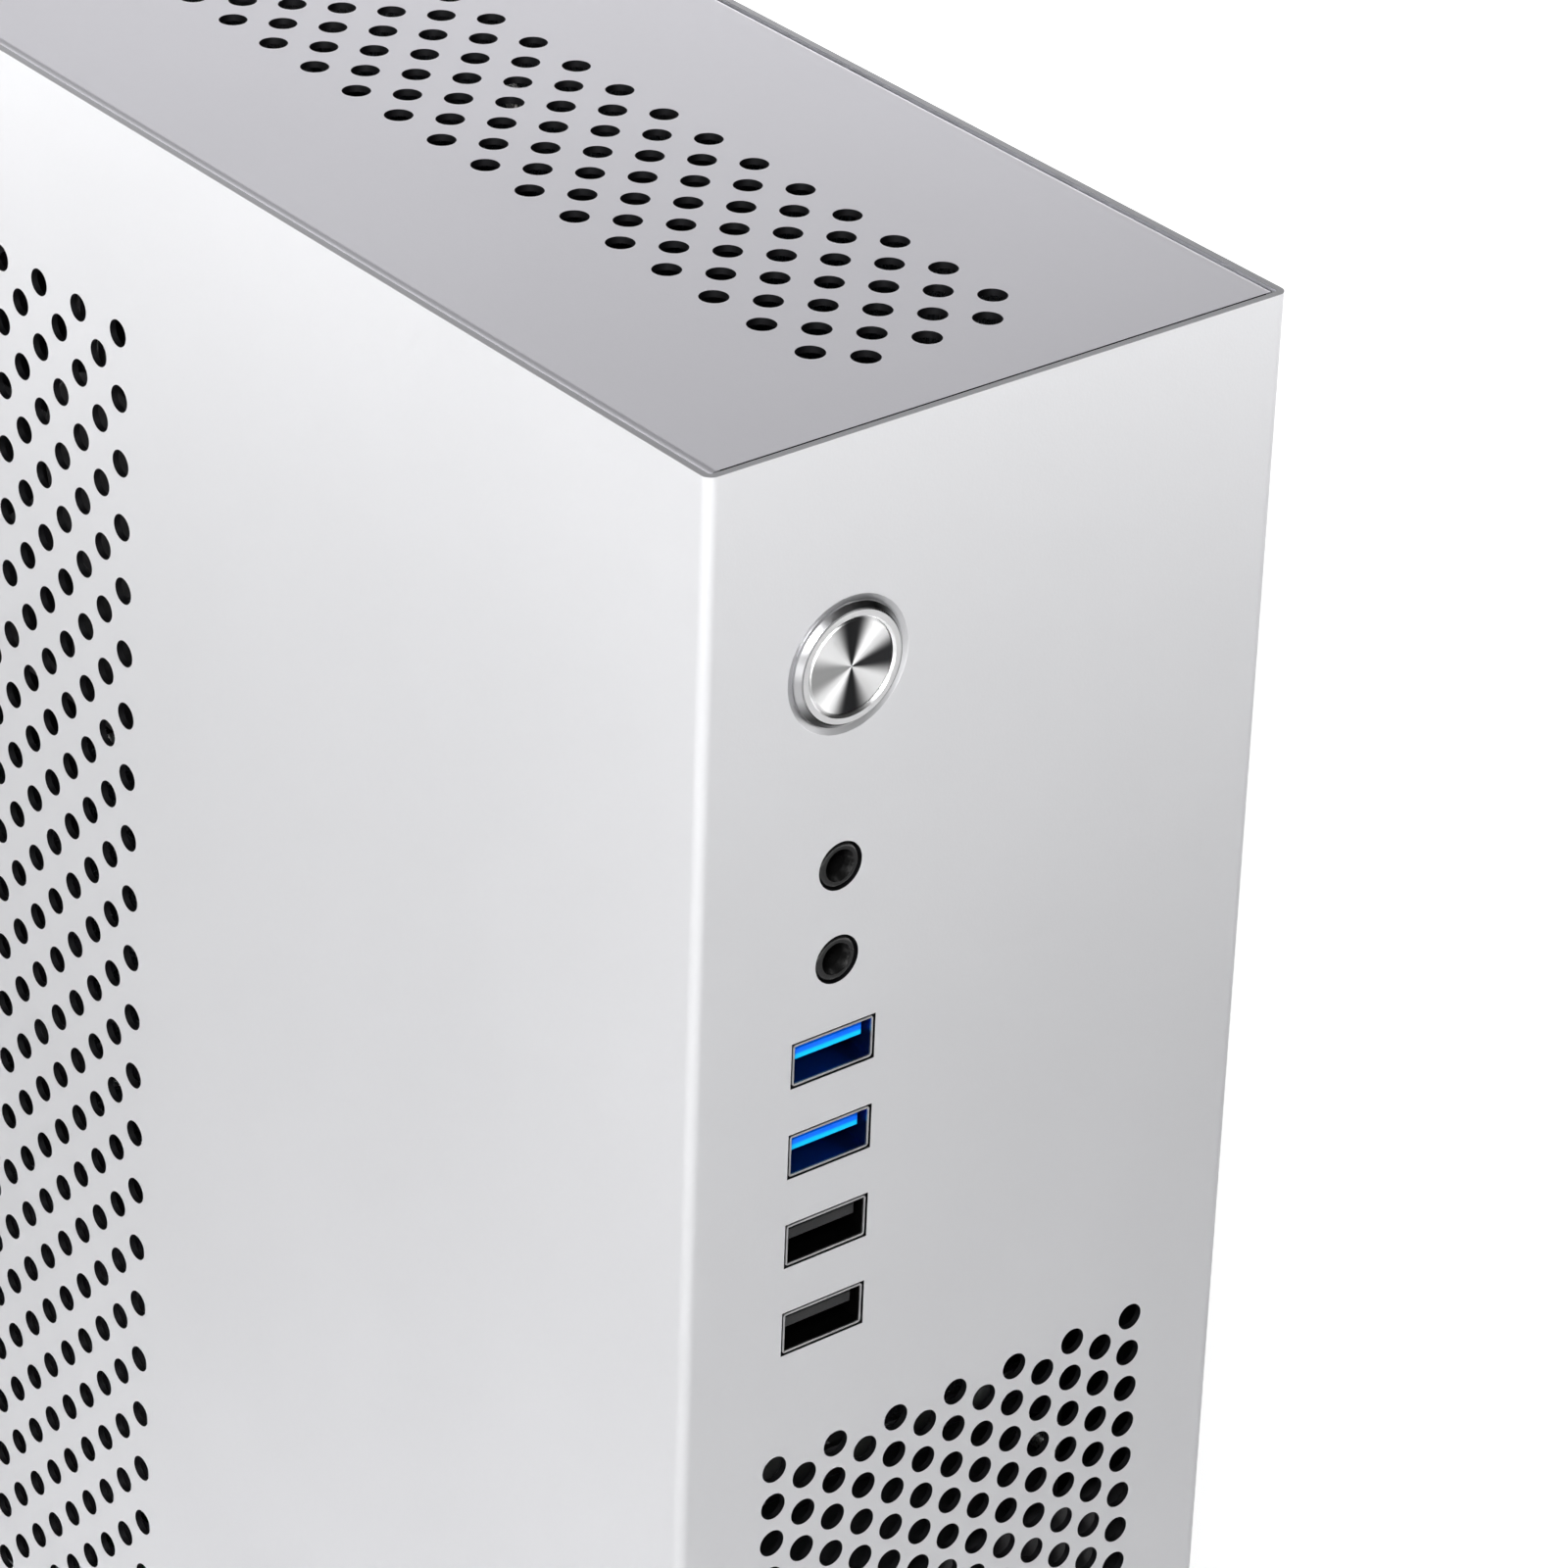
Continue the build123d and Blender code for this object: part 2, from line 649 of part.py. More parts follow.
def make_memory_slots():
    """Two memory slots with a pair of ears each for the latch's pin."""
    slots = []
    for y in memory_y:
        body = on_board(around(y, memory_slot[1]), memory_slot_z, memory_slot[0])
        ears = on_board(around(y, memory_slot[1]), (memory_slot_z[1], memory_slot_z[1] + 5.4), 7.0)
        ears -= on_board(around(y, 4.4), (memory_slot_z[1], memory_slot_z[1] + 5.4), 7.0)
        groove = on_board(around(y, 1.5), around(sum(memory_slot_z) / 2, memory_length + 0.4), 8.0)
        groove -= on_board(around(y, 1.5), memory_slot_z, 2.8)
        pin = rod((latch_pivot_x, y - 4, latch_pivot_z), (0, 1, 0), 0.85, 8)
        slots.append(body + ears - groove - pin)
    return group(slots)


def make_memory_module(y):
    """A memory module: the card and its chips on both faces."""
    foot = board_face - 2.8
    middle = sum(memory_slot_z) / 2
    card = block((foot - memory_height, foot), around(y, memory_thickness), around(middle, memory_length))
    key = block((foot - 4.5, foot), around(y, 2.0), around(middle + 5.0, 1.5))
    chip_x, chip_y = (foot - 27, foot - 13), around(y, memory_thickness + 2.0)
    chips = [block(chip_x, chip_y, around(middle + i * 15.0, 10.5)) for i in range(-4, 5) if i]
    return card - key + chips


def make_memory_latch(y):
    """The pivoting end latch of a memory slot, upright when shut."""
    low = latch_pivot_z - 2.0
    arm = block((latch_pivot_x - latch_length, latch_pivot_x + 2.4), around(y, 4.0), (low, low + 4.0))
    arm = fillet(arm.edges().filter_by(Axis.Y), 1.2)
    tip = latch_pivot_x - latch_length
    finger_rest = block((tip, tip + 3.0), around(y, 2.4), (low + 3.0, low + 6.5))
    tooth = block((tip + 5.0, tip + 9.0), around(y, 2.4), (low - 5.3, low + 1.0))
    pin = rod((latch_pivot_x, y - 3.2, latch_pivot_z), (0, 1, 0), 0.8, 6.4)
    return arm + finger_rest + tooth + pin


def make_expansion_connectors():
    """Four card slots: two long and two short ones, each with its groove."""
    rear_end = board_rear - 50.0
    bodies = []
    for z, length in zip(slot_z, (89.0, 25.0, 89.0, 25.0)):
        body = on_board((rear_end - length, rear_end), around(z, 7.5), 11.0)
        groove = block(
            (board_face - 11.0, board_face - 4.0), (rear_end - length + 2, rear_end - 2), around(z, 1.8)
        )
        bodies.append(body - groove)
    return group(bodies)


def finned_block(y, z, height, pitch=3.5):
    """An aluminium heatsink on the board with grooves along z."""
    body = on_board(y, z, height)
    count = int((y[1] - y[0] - 2) / pitch)
    first = (y[0] + y[1] - (count - 1) * pitch) / 2
    x = (board_face - height, board_face - 3)
    grooves = [block(x, around(first + i * pitch, 1.6), z) for i in range(count)]
    return cut(body, grooves)


def make_chipset_heatsink():
    """The low heatsink over the chipset."""
    return finned_block((board_front + 22, board_front + 62), (board_bottom + 14, board_bottom + 54), 9.0)


def make_vrm_heatsink():
    """The heatsink over the processor's voltage regulators."""
    return finned_block((board_rear - 44, board_rear - 28), (cpu_z - 40, cpu_z + 42), 15.0)


def power_header(y, z, rows, columns, height=12.6, cell=4.2):
    """A power header: a shroud with a grid of square pin wells."""
    body = on_board(around(y, rows * cell + 1.4), around(z, columns * cell + 1.4), height)
    wells = [
        block(
            (board_face - height, board_face - 3),
            around(y + (i - (rows - 1) / 2) * cell, 3.2),
            around(z + (j - (columns - 1) / 2) * cell, 3.2),
        )
        for i in range(rows)
        for j in range(columns)
    ]
    return cut(body, wells)


main_header = (board_front + 10.0, board_top - 62.0)
cpu_header = (board_rear - 60.0, board_top - 6.0)
usb_header = (board_front + 9.0, board_top - 108.0)
panel_header = (board_front + 34.0, board_bottom + 5.0)


def make_board_headers():
    """Power headers, the internal USB header, the front panel header and the drive ports."""
    headers = [power_header(*main_header, 2, 12), power_header(*cpu_header, 4, 2)]
    usb = on_board(around(usb_header[0], 9.0), around(usb_header[1], 24.0), 9.0)
    well = (around(usb_header[0], 6.4), around(usb_header[1], 21.0))
    headers.append(usb - on_board(*well, 9.0) + on_board(*well, 2.0))
    headers.append(on_board(around(panel_header[0], 13.0), around(panel_header[1], 5.0), 6.0))
    for i in range(4):
        z = board_bottom + 87.0 + 9.0 * i
        port = on_board((board_front + 3, board_front + 16), around(z, 7.4), 7.0)
        slit = on_board((board_front + 3, board_front + 11), around(z, 2.4), 5.6)
        headers.append(port - slit)
    return group(headers)


def make_m2_ssd():
    """The plug-in solid state card: card, chips and its socket."""
    z = around(io_bottom + 22.0, 22.0)
    y = (board_rear - 146.0, board_rear - 66.0)
    card = block((board_face - 3.6, board_face - 2.8), y, z)
    chips = [
        block((board_face - 5.0, board_face - 3.6), (y[0] + low, y[0] + low + 16), (z[0] + 3, z[1] - 3))
        for low in (8, 30, 54)
    ]
    post = rod((board_face - 2.8, y[0] + 3.0, sum(z) / 2), (1, 0, 0), 2.4, 2.8)
    return card + chips + post


# ================================================================ fans
def fan_frame(size, depth):
    """An axial fan's frame along +Z from z = 0, with its struts and shaft tube below."""
    flange, wall, strut = 3.0, 1.6, 2.2
    bore, hub = size / 2 - wall, 0.22 * size
    tube = min(4.0, 0.35 * hub)
    offset = fan_hole_offset(size)
    low = (Align.CENTER, Align.CENTER, Align.MIN)
    frame = Cylinder(size / 2, depth, align=low)
    frame += [Pos(0, 0, z) * Box(size, size, flange, align=low) for z in (0, depth - flange)]
    frame -= Cylinder(bore, depth, align=low)
    for x in (-offset, offset):
        for y in (-offset, offset):
            frame -= Pos(x, y, 0) * Cylinder(0.027 * size + 0.6, depth, align=low)
    arm = Pos(bore / 2, 0, 0) * Box(bore + 1, 3, strut, align=low)
    frame += [Rot(0, 0, 45 + 90 * i) * arm for i in range(4)]
    frame += Cylinder(hub, strut, align=low)
    frame += Cylinder(tube, 0.6 * depth, align=low)
    return frame - Cylinder(m3_radius + 0.05, depth, align=low)


def fan_rotor(size, depth, blades):
    """The matching rotor: hub cup, shaft and pitched blades."""
    wall, strut, lift, pitch = 1.6, 2.2, 0.8, 42
    bore, hub = size / 2 - wall, 0.22 * size
    low = (Align.CENTER, Align.CENTER, Align.MIN)
    floor, roof = strut + lift, depth - lift
    span = roof - floor - 1.0
    cup = Pos(0, 0, floor) * Cylinder(hub, roof - floor, align=low)
    cup = fillet(cup.edges().group_by(Axis.Z)[-1], 1.0)
    cup -= Pos(0, 0, floor) * Cylinder(hub - 1.5, roof - floor - 1.5, align=low)
    cup += Pos(0, 0, strut) * Cylinder(m3_radius, roof - strut - 0.5, align=low)
    tips = Cylinder(bore - 0.8, span, align=low) - Cylinder(hub - 0.7, span, align=low)
    middle = (bore + hub) / 2
    plate = Pos(middle, 0, span / 2) * Rot(pitch, 0, 0) * Box(bore - hub + 6, 1.3, 2 * span)
    blade = Pos(0, 0, floor + 0.5) * (plate & tips)
    return cup + [Rot(0, 0, 360 * i / blades) * blade for i in range(blades)]


front_fan_place = Plane(origin=(0, bracket_y, grille_centre), x_dir=(1, 0, 0), z_dir=(0, -1, 0))
cooler_fan_place = Plane(origin=(fin_top, cpu_y, cpu_z), x_dir=(0, 1, 0), z_dir=(-1, 0, 0))
psu_fan_base = panel_face - psu_sheet - psu_fan_depth
psu_fan_place = Plane(origin=(psu_fan_x, psu_fan_base, psu_fan_z), x_dir=(1, 0, 0), z_dir=(0, 1, 0))


# ================================================================ power supply
def make_psu_housing():
    """The open-topped steel box of the power supply, cut for its fan, inlet, switch and leads."""
    outer = block(around(0, psu_width), (psu_front, panel_face), (psu_bottom, psu_top - psu_sheet))
    inner = block(
        around(0, psu_width - 2 * psu_sheet),
        (psu_front + psu_sheet, panel_face - psu_sheet),
        (psu_bottom + psu_sheet, psu_top),
    )
    wall = (panel_face - 2, panel_face + 1)
    tools = [
        rod((psu_fan_x, wall[0], psu_fan_z), (0, 1, 0), psu_fan_size / 2 - 1.6, 3),
        block(around(inlet_x, inlet_body[0] + 0.4), wall, around(inlet_z, inlet_body[1] + 0.4)),
        block(around(rocker_x, rocker_body[0] + 0.4), wall, around(rocker_z, rocker_body[1] + 0.4)),
        rod((cable_exit_x, psu_front - 1, cable_exit_z), (0, 1, 0), 7.5, 3),
    ]
    tools += [
        block((x, x + 2.4), (psu_front - 1, psu_front + 2), (psu_bottom + 8, psu_bottom + 32))
        for x in [-34 + 5 * i for i in range(7)]
    ]
    points = [(x, panel_face - psu_sheet / 2, z) for x, z in psu_screw_places()]
    tools += punches(points, (0, 1, 0), 2 * psu_sheet, m3_hole_radius)
    return cut(outer - inner, tools)


def make_psu_lid():
    """The power supply's lid, slotted over its warm end."""
    lid = block(around(0, psu_width), (psu_front, panel_face), (psu_top - psu_sheet, psu_top))
    slots = [
        block(around(-24 + 8 * i, 3.0), (psu_front + 14, psu_front + 54), (psu_top - 2, psu_top + 1))
        for i in range(7)
    ]
    return cut(lid, [fillet(s.edges().filter_by(Axis.Z), 1.4) for s in slots])


def make_psu_board():
    """The supply's circuit board with its transformer, capacitors and heatsinks."""
    face = psu_bottom + psu_sheet + 5.0
    y = (psu_front + 6.0, panel_face - psu_sheet - psu_fan_depth - 6.0)
    board = block((-36.0, 36.0), y, (face - 1.6, face))
    posts = [
        rod((x, end, psu_bottom + psu_sheet), (0, 0, 1), 2.2, 5.0 - 1.6)
        for x in (-32.0, 32.0)
        for end in (y[0] + 5.0, y[1] - 5.0)
    ]
    transformer = block((-10.0, 16.0), (y[0] + 48, y[0] + 80), (face, face + 24.0))
    sink_y, sink_z = (y[0] + 26, y[0] + 90), (face, face + 26.0)
    sinks = [block(x, sink_y, sink_z) for x in ((-19.0, -16.5), (22.0, 24.5))]
    cans = [rod((-28.0, y[0] + 34 + 20 * i, face), (0, 0, 1), 7.5, 26.0) for i in range(3)]
    return group([board, *posts, transformer, *sinks, *cans])


def flat_ring(x, faces, inner, outer):
    """A flat ring about an axis along Y that passes through x, between two faces."""
    thickness = faces[1] - faces[0]
    disc = rod((x, faces[0], 0), (0, 1, 0), outer, thickness)
    return disc - rod((x, faces[0], 0), (0, 1, 0), inner, thickness)


def make_psu_fan_guard():
    """A flat stamped guard over the supply's fan: three rings on four arms that end in eyes."""
    faces = (panel_face + 0.1, panel_face + 1.1)
    reach = fan_hole_offset(psu_fan_size) * sqrt(2)
    arm = block((5.5, reach - 2.0), faces, (-0.7, 0.7)) + flat_ring(reach, faces, 1.4, 2.6)
    guard = flat_ring(0, faces, 4.8, 6.2)
    guard += [flat_ring(0, faces, radius, radius + 1.4) for radius in (9.8, 14.8)]
    guard += [Rot(0, 45 + 90 * i, 0) * arm for i in range(4)]
    return Pos(psu_fan_x, 0, psu_fan_z) * guard


def inlet_outline(size, depth):
    """A rounded rectangle round the power inlet, extruded over a depth."""
    plug = block(around(inlet_x, size[0]), depth, around(inlet_z, size[1]))
    return fillet(plug.edges().filter_by(Axis.Y), 2.0)


def make_psu_inlet():
    """The three-pin mains inlet: flange, body and the cavity that a plug enters."""
    inlet = inlet_outline(inlet_flange, (panel_face, inlet_face))
    inlet += inlet_outline(inlet_body, (inlet_face - inlet_depth, inlet_face))
    cavity_y = (inlet_face - 13.5, inlet_face)
    cavity = block(around(inlet_x, inlet_cavity[0]), cavity_y, around(inlet_z, inlet_cavity[1]))
    cavity = chamfer(cavity.edges().filter_by(Axis.Y).group_by(Axis.Z)[-1], 4.0)
    holes = [block(x, (inlet_face - 17, inlet_face - 13), z) for x, z in inlet_pin_sections()]
    return cut(inlet - cavity, holes)


def inlet_pin_sections():
    """The three blades' cross sections: two at the sides and the raised earth blade."""
    places = ((inlet_x - 7.0, inlet_z - 1.0), (inlet_x + 7.0, inlet_z - 1.0), (inlet_x, inlet_z + 2.5))
    return [(around(x, 2.0), around(z, 4.0)) for x, z in places]


def make_psu_inlet_pins():
    """The three contact blades of the mains inlet, with their solder tails."""
    pins = [block(x, (inlet_face - 20, inlet_face - 4.6), z) for x, z in inlet_pin_sections()]
    return group([chamfer(p.edges().group_by(Axis.Y)[-1], 0.5) for p in pins])


def make_psu_switch_bezel():
    """The mains switch's frame and body, with bores for the rocker's trunnions."""

    def sized(size, y):
        return block(around(rocker_x, size[0]), y, around(rocker_z, size[1]))

    face = panel_face + 1.2
    frame = sized(rocker_bezel, (panel_face, face))
    frame = fillet(frame.edges().filter_by(Axis.Y), 1.0)
    frame += sized(rocker_body, (panel_face - 9, face))
    cavity = sized(rocker_cavity, (panel_face - 7, face))
    bore = rod((rocker_x, rocker_pivot_y, rocker_z - 3.6), (0, 0, 1), 0.85, 7.2)
    return frame - cavity - bore


def make_psu_rocker():
    """The rocker with its V-shaped face, resting with one end pressed in."""
    half, face, depth = rocker_size[0] / 2, 2.6, -2.6
    outline = Polyline(
        (-half, face), (0, face - 0.9), (half, face), (half - 1.1, depth), (1.1 - half, depth), close=True
    )
    body = extrude(make_face(outline), amount=rocker_size[1] / 2, both=True)
    body += Cylinder(0.8, 7.0)
    return Pos(rocker_x, rocker_pivot_y, rocker_z) * Rot(0, 0, -rocker_tilt) * body


# ================================================================ front connectors
def usb_receptacle_shell(z):
    """One metal USB receptacle shell, open at the front and the back."""
    depth = (front + port_setback, io_board_y)
    shell = block(around(port_x, usb_shell[0]), depth, around(z, usb_shell[1]))
    shell = fillet(shell.edges().filter_by(Axis.Y), 0.5)
    inside = block(
        around(port_x, usb_shell[0] - 2 * usb_wall), depth, around(z, usb_shell[1] - 2 * usb_wall)
    )
    return shell - inside


def usb_tongue(z):
    """The insulator at the back of a receptacle and the tongue that carries the contacts."""
    inner_top = z + usb_shell[1] / 2 - usb_wall
    root = (io_board_y - usb_insulator_depth, io_board_y)
    wide, high = usb_shell[0] - 2 * usb_wall - 0.1, usb_shell[1] - 2 * usb_wall - 0.1
    insulator = block(around(port_x, wide), root, around(z, high))
    tongue_y = (front + port_setback + tongue_setback, root[0] + 1)
    tongue_z = (inner_top - tongue_drop - tongue_size[1], inner_top - tongue_drop)
    tongue = block(around(port_x, tongue_size[0]), tongue_y, tongue_z)
    return insulator + chamfer(tongue.edges().group_by(Axis.Y)[0], 0.2)


def make_front_io_board():
    """The upright board that carries the front connectors."""
    board = block(io_board_x, (io_board_y, io_board_y + io_board_thickness), io_board_z)
    middle = io_board_y + io_board_thickness / 2
    points = [(x, middle, z) for x, z in io_standoff_places()]
    return cut(board, punches(points, (0, 1, 0), 2 * io_board_thickness, m3_hole_radius))


def make_audio_jacks():
    """Two 3.5 mm sound jacks: round noses in the front wall and square bodies behind it."""
    jacks = []
    for z in jack_z:
        face = front + port_setback
        nose = rod((port_x, face, z), (0, 1, 0), jack_radius, 4.0)
        nose = fillet(nose.edges().group_by(Axis.Y)[0], 0.7)
        body_y = (front + skin + 0.5, io_board_y)
        jack = nose + block(around(port_x, jack_body), body_y, around(z, jack_body))
        jack -= taper((port_x, face, z), (0, 1, 0), (jack_bore_radius + 0.5, jack_bore_radius), 1.2)
        jacks.append(jack - rod((port_x, face, z), (0, 1, 0), jack_bore_radius, 13.0))
    return group(jacks)


# ================================================================ power button
def make_button_housing():
    """The button's barrel with its bevelled bezel, the cap's bore and two terminals."""
    inwards = (0, 1, 0)
    face, seat = front - front_proud, front + button_seat_depth
    housing = rod((button_x, face, button_z), inwards, bezel_radius, seat - face)
    housing = chamfer(housing.edges().group_by(Axis.Y)[0], bezel_bevel)
    housing += rod((button_x, face, button_z), inwards, barrel_radius, barrel_length + front_proud)
    bore_radius = cap_radius + cap_clearance
    bore = rod((button_x, face, button_z), inwards, bore_radius, button_floor - face)
    mouth = taper((button_x, face, button_z), inwards, (bore_radius + 0.3, bore_radius), 0.3)
    guide = rod((button_x, face, button_z), inwards, plunger_radius + cap_clearance, 16.0)
    back = (front + barrel_length, front + barrel_length + 4)
    terminals = [block(around(button_x + x, 2.8), back, around(button_z, 0.8)) for x in (-4.0, 4.0)]
    return housing - bore - mouth - guide + terminals


def make_button_cap():
    """The moving cap and its plunger."""
    inwards = (0, 1, 0)
    face = front - front_proud + cap_setback
    cap = rod((button_x, face, button_z), inwards, cap_radius, cap_thickness)
    cap = chamfer(cap.edges().group_by(Axis.Y)[0], 0.25)
    return cap + rod((button_x, face, button_z), inwards, plunger_radius, 12.5)


def make_button_spring():
    """The return spring between the housing's floor and the cap."""
    cap_back = front - front_proud + cap_setback + cap_thickness
    length = button_floor - cap_back - spring_wire
    path = Helix(pitch=length / spring_turns, height=length, radius=spring_radius)
    section = Plane(origin=path @ 0, z_dir=path % 0) * Circle(spring_wire / 2)
    coil = sweep(section, path=path, is_frenet=True)
    return Plane(origin=(button_x, cap_back + spring_wire / 2, button_z), z_dir=(0, 1, 0)) * coil


def make_button_nut():
    """The hexagonal nut that clamps the button behind the front wall."""
    start = (button_x, front + skin, button_z)
    nut = hexagon_post(start, (0, 1, 0), nut_flats, nut_height)
    return nut - rod(start, (0, 1, 0), barrel_radius + 0.05, nut_height)


# ================================================================ fasteners
def make_m3_screws():
    """Every pan head screw: boards, fan, slot covers, power supply, drive and feet."""
    screws = [pan_screw((board_face, y, z), (1, 0, 0), 5.6) for y, z in board_hole_places()]
    screws += [pan_screw((x, io_board_y, z), (0, 1, 0), 6.0) for x, z in io_standoff_places()]
    screws += [pan_screw((x, bracket_back, z), (0, -1, 0), 9.0) for x, z in front_fan_screw_places()]
    screws += [pan_screw((slot_screw_x, rear, z), (0, -1, 0), 5.0) for z in slot_z]
    screws += [pan_screw((x, rear, z), (0, -1, 0), 5.0) for x, z in psu_screw_places()]
    screws += [pan_screw((x, y, foot_height / 2), (0, 0, 1), 5.0) for x, y in foot_places()]
    screws += [pan_screw((drive_plate_x - sheet, y, z), (1, 0, 0), 3.6) for y, z in drive_screw_places()]
    return group(screws)


def make_thumbscrews():
    """Eight knurled thumbscrews in the rear panel."""
    head = rod((0, 0, 0), (0, 1, 0), thumb_head_radius, rear_proud)
    head = chamfer(head.edges().filter_by(GeomType.CIRCLE), 0.4)
    knurls = [
        Rot(0, 18 * i, 0) * rod((thumb_head_radius + 0.1, 0.8, 0), (0, 1, 0), 0.3, rear_proud - 1.6)
        for i in range(20)
    ]
    slot = block((-2.6, 2.6), (rear_proud - 0.9, rear_proud), (-0.5, 0.5))
    screw = head - knurls - slot - Rot(0, 90, 0) * slot
    screw += rod((0, 0, 0), (0, -1, 0), m3_radius, thumb_shank)
    places = wrap_screw_places() + cover_screw_places()
    return group([Pos(x, rear, z) * screw for x, z in places])


# ================================================================ internal cables
def cable(points, diameter):
    """A round cable through the points, its arcs as large as the runs on either side allow."""
    vectors = [Vector(p) for p in points]
    radii = []
    for before, here, after in zip(vectors, vectors[1:], vectors[2:]):
        turn = radians((here - before).get_angle(after - here))
        run = min((here - before).length, (after - here).length)
        radii.append(0.45 * run / tan(turn / 2))
    print("arc radii", [round(r) for r in radii], "diameter", diameter)
    path = FilletPolyline(*points, radius=radii)
    section = Plane(origin=path @ 0, z_dir=path % 0) * Circle(diameter / 2)
    tube = sweep(section, path=path)
    print("volume ratio", round(tube.volume / (section.area * path.length), 4))
    return tube


def make_main_power_cable():
    """The bundled main power lead, from the supply to its plug on the board."""
    y, z = main_header
    plug = block((board_face - 26.0, board_face - 12.6), around(y, 10.4), around(z, 52.0))
    route = [
        (cable_exit_x, psu_front + 2.0, cable_exit_z),
        (cable_exit_x, psu_front - 22.0, cable_exit_z),
        (4.0, psu_front - 48.0, cable_exit_z + 22.0),
        (-8.0, psu_front - 66.0, cable_exit_z + 58.0),
        (-14.0, psu_front - 76.0, cable_exit_z + 102.0),
        (-16.0, y + 3.0, z - 70.0),
        (-14.0, y, z - 26.0),
        (-5.0, y, z - 3.0),
        (board_face - 26.0, y, z),
    ]
    return group([plug, cable(route, 9.0)])


def make_front_usb_cable():
    """The front connectors' data lead, from their board to the main board."""
    y, z = usb_header
    plug = block((board_face - 17.0, board_face - 9.0), around(y, 8.0), around(z, 22.0))
    start = io_board_y + io_board_thickness
    socket_z = usb3_z[1]
    socket = block(around(port_x, 11.0), (start, start + 6.0), around(socket_z, 18.0))
    route = [
        (port_x, start + 6.0, socket_z),
        (port_x, start + 22.0, socket_z),
        (port_x + 6.0, y + 22.0, z + 16.0),
        (port_x + 26.0, y + 18.0, z + 4.0),
        (board_face - 32.0, y, z),
        (board_face - 17.0, y, z),
    ]
    return group([plug, socket, cable(route, 5.0)])


def make_button_lead():
    """The power button's thin lead, down to the front panel header."""
    y, z = panel_header
    plug = block((board_face - 16.0, board_face - 6.0), around(y, 6.0), around(z, 4.0))
    start = front + barrel_length + 4.0
    route = [
        (button_x, start, button_z),
        (button_x, start + 14.0, button_z),
        (button_x - 9.0, start + 20.0, button_z - 30.0),
        (button_x - 10.0, start + 21.0, button_z - 75.0),
        (button_x - 9.0, start + 21.0, button_z - 120.0),
        (button_x - 4.0, start + 22.0, button_z - 165.0),
        (button_x + 10.0, start + 26.0, z + 26.0),
        (button_x + 27.0, y - 6.0, z + 5.0),
        (board_face - 25.0, y, z),
        (board_face - 16.0, y, z),
    ]
    return group([plug, cable(route, 2.4)])


# ================================================================ assembly
nodes = {
    "outer_shell": make_outer_shell(),
    "top_cover": make_top_cover(),
    "base_plate": make_base_plate(),
    "feet": make_feet(),
    "rear_panel": make_rear_panel(),
    "motherboard_tray": make_motherboard_tray(),
    "front_bracket": make_front_bracket(),
    "standoffs": make_standoffs(),
    "drive_tray": make_drive_tray(),
    "solid_state_drive": make_solid_state_drive(),
    "motherboard": make_motherboard(),
    "rear_usb_ports": make_rear_usb_ports(),
    "rear_network_port": make_rear_network_port(),
    "rear_display_ports": make_rear_display_ports(),
    "rear_audio_ports": make_rear_audio_ports(),
    "io_shield": make_io_shield(),
    "slot_covers": make_slot_covers(),
    "cpu_socket": make_cpu_socket(),
    "cpu": make_cpu(),
    "cooler_heatsink": make_cooler_heatsink(),
    "cooler_fan_frame": cooler_fan_place * fan_frame(cooler_fan_size, cooler_fan_depth),
    "cooler_fan_rotor": cooler_fan_place * fan_rotor(cooler_fan_size, cooler_fan_depth, 9),
    "memory_slots": make_memory_slots(),
    "memory_module_1": make_memory_module(memory_y[0]),
    "memory_module_2": make_memory_module(memory_y[1]),
    "memory_latch_1": make_memory_latch(memory_y[0]),
    "memory_latch_2": make_memory_latch(memory_y[1]),
    "expansion_connectors": make_expansion_connectors(),
    "chipset_heatsink": make_chipset_heatsink(),
    "vrm_heatsink": make_vrm_heatsink(),
    "board_headers": make_board_headers(),
    "m2_ssd": make_m2_ssd(),
    "psu_housing": make_psu_housing(),
    "psu_lid": make_psu_lid(),
    "psu_board": make_psu_board(),
    "psu_fan_frame": psu_fan_place * fan_frame(psu_fan_size, psu_fan_depth),
    "psu_fan_rotor": psu_fan_place * fan_rotor(psu_fan_size, psu_fan_depth, 7),
    "psu_fan_guard": make_psu_fan_guard(),
    "psu_inlet": make_psu_inlet(),
    "psu_inlet_pins": make_psu_inlet_pins(),
    "psu_switch_bezel": make_psu_switch_bezel(),
    "psu_rocker": make_psu_rocker(),
    "front_fan_frame": front_fan_place * fan_frame(front_fan_size, front_fan_depth),
    "front_fan_rotor": front_fan_place * fan_rotor(front_fan_size, front_fan_depth, 7),
    "front_io_board": make_front_io_board(),
    "usb3_shells": group([usb_receptacle_shell(z) for z in usb3_z]),
    "usb3_tongues": group([usb_tongue(z) for z in usb3_z]),
    "usb2_shells": group([usb_receptacle_shell(z) for z in usb2_z]),
    "usb2_tongues": group([usb_tongue(z) for z in usb2_z]),
    "audio_jacks": make_audio_jacks(),
    "button_housing": make_button_housing(),
    "button_cap": make_button_cap(),
    "button_spring": make_button_spring(),
    "button_nut": make_button_nut(),
    "m3_screws": make_m3_screws(),
    "thumbscrews": make_thumbscrews(),
    "main_power_cable": make_main_power_cable(),
    "front_usb_cable": make_front_usb_cable(),
    "button_lead": make_button_lead(),
}

for name, shape in nodes.items():
    export_step(shape, f"parts/{name}.step")
print(len(nodes), "nodes")
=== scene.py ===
"""Looks for the slim desktop computer tower: camera, studio light and procedural finishes."""

import json
from math import cos, pi, radians, sin

import bpy
from mathutils import Matrix, Vector


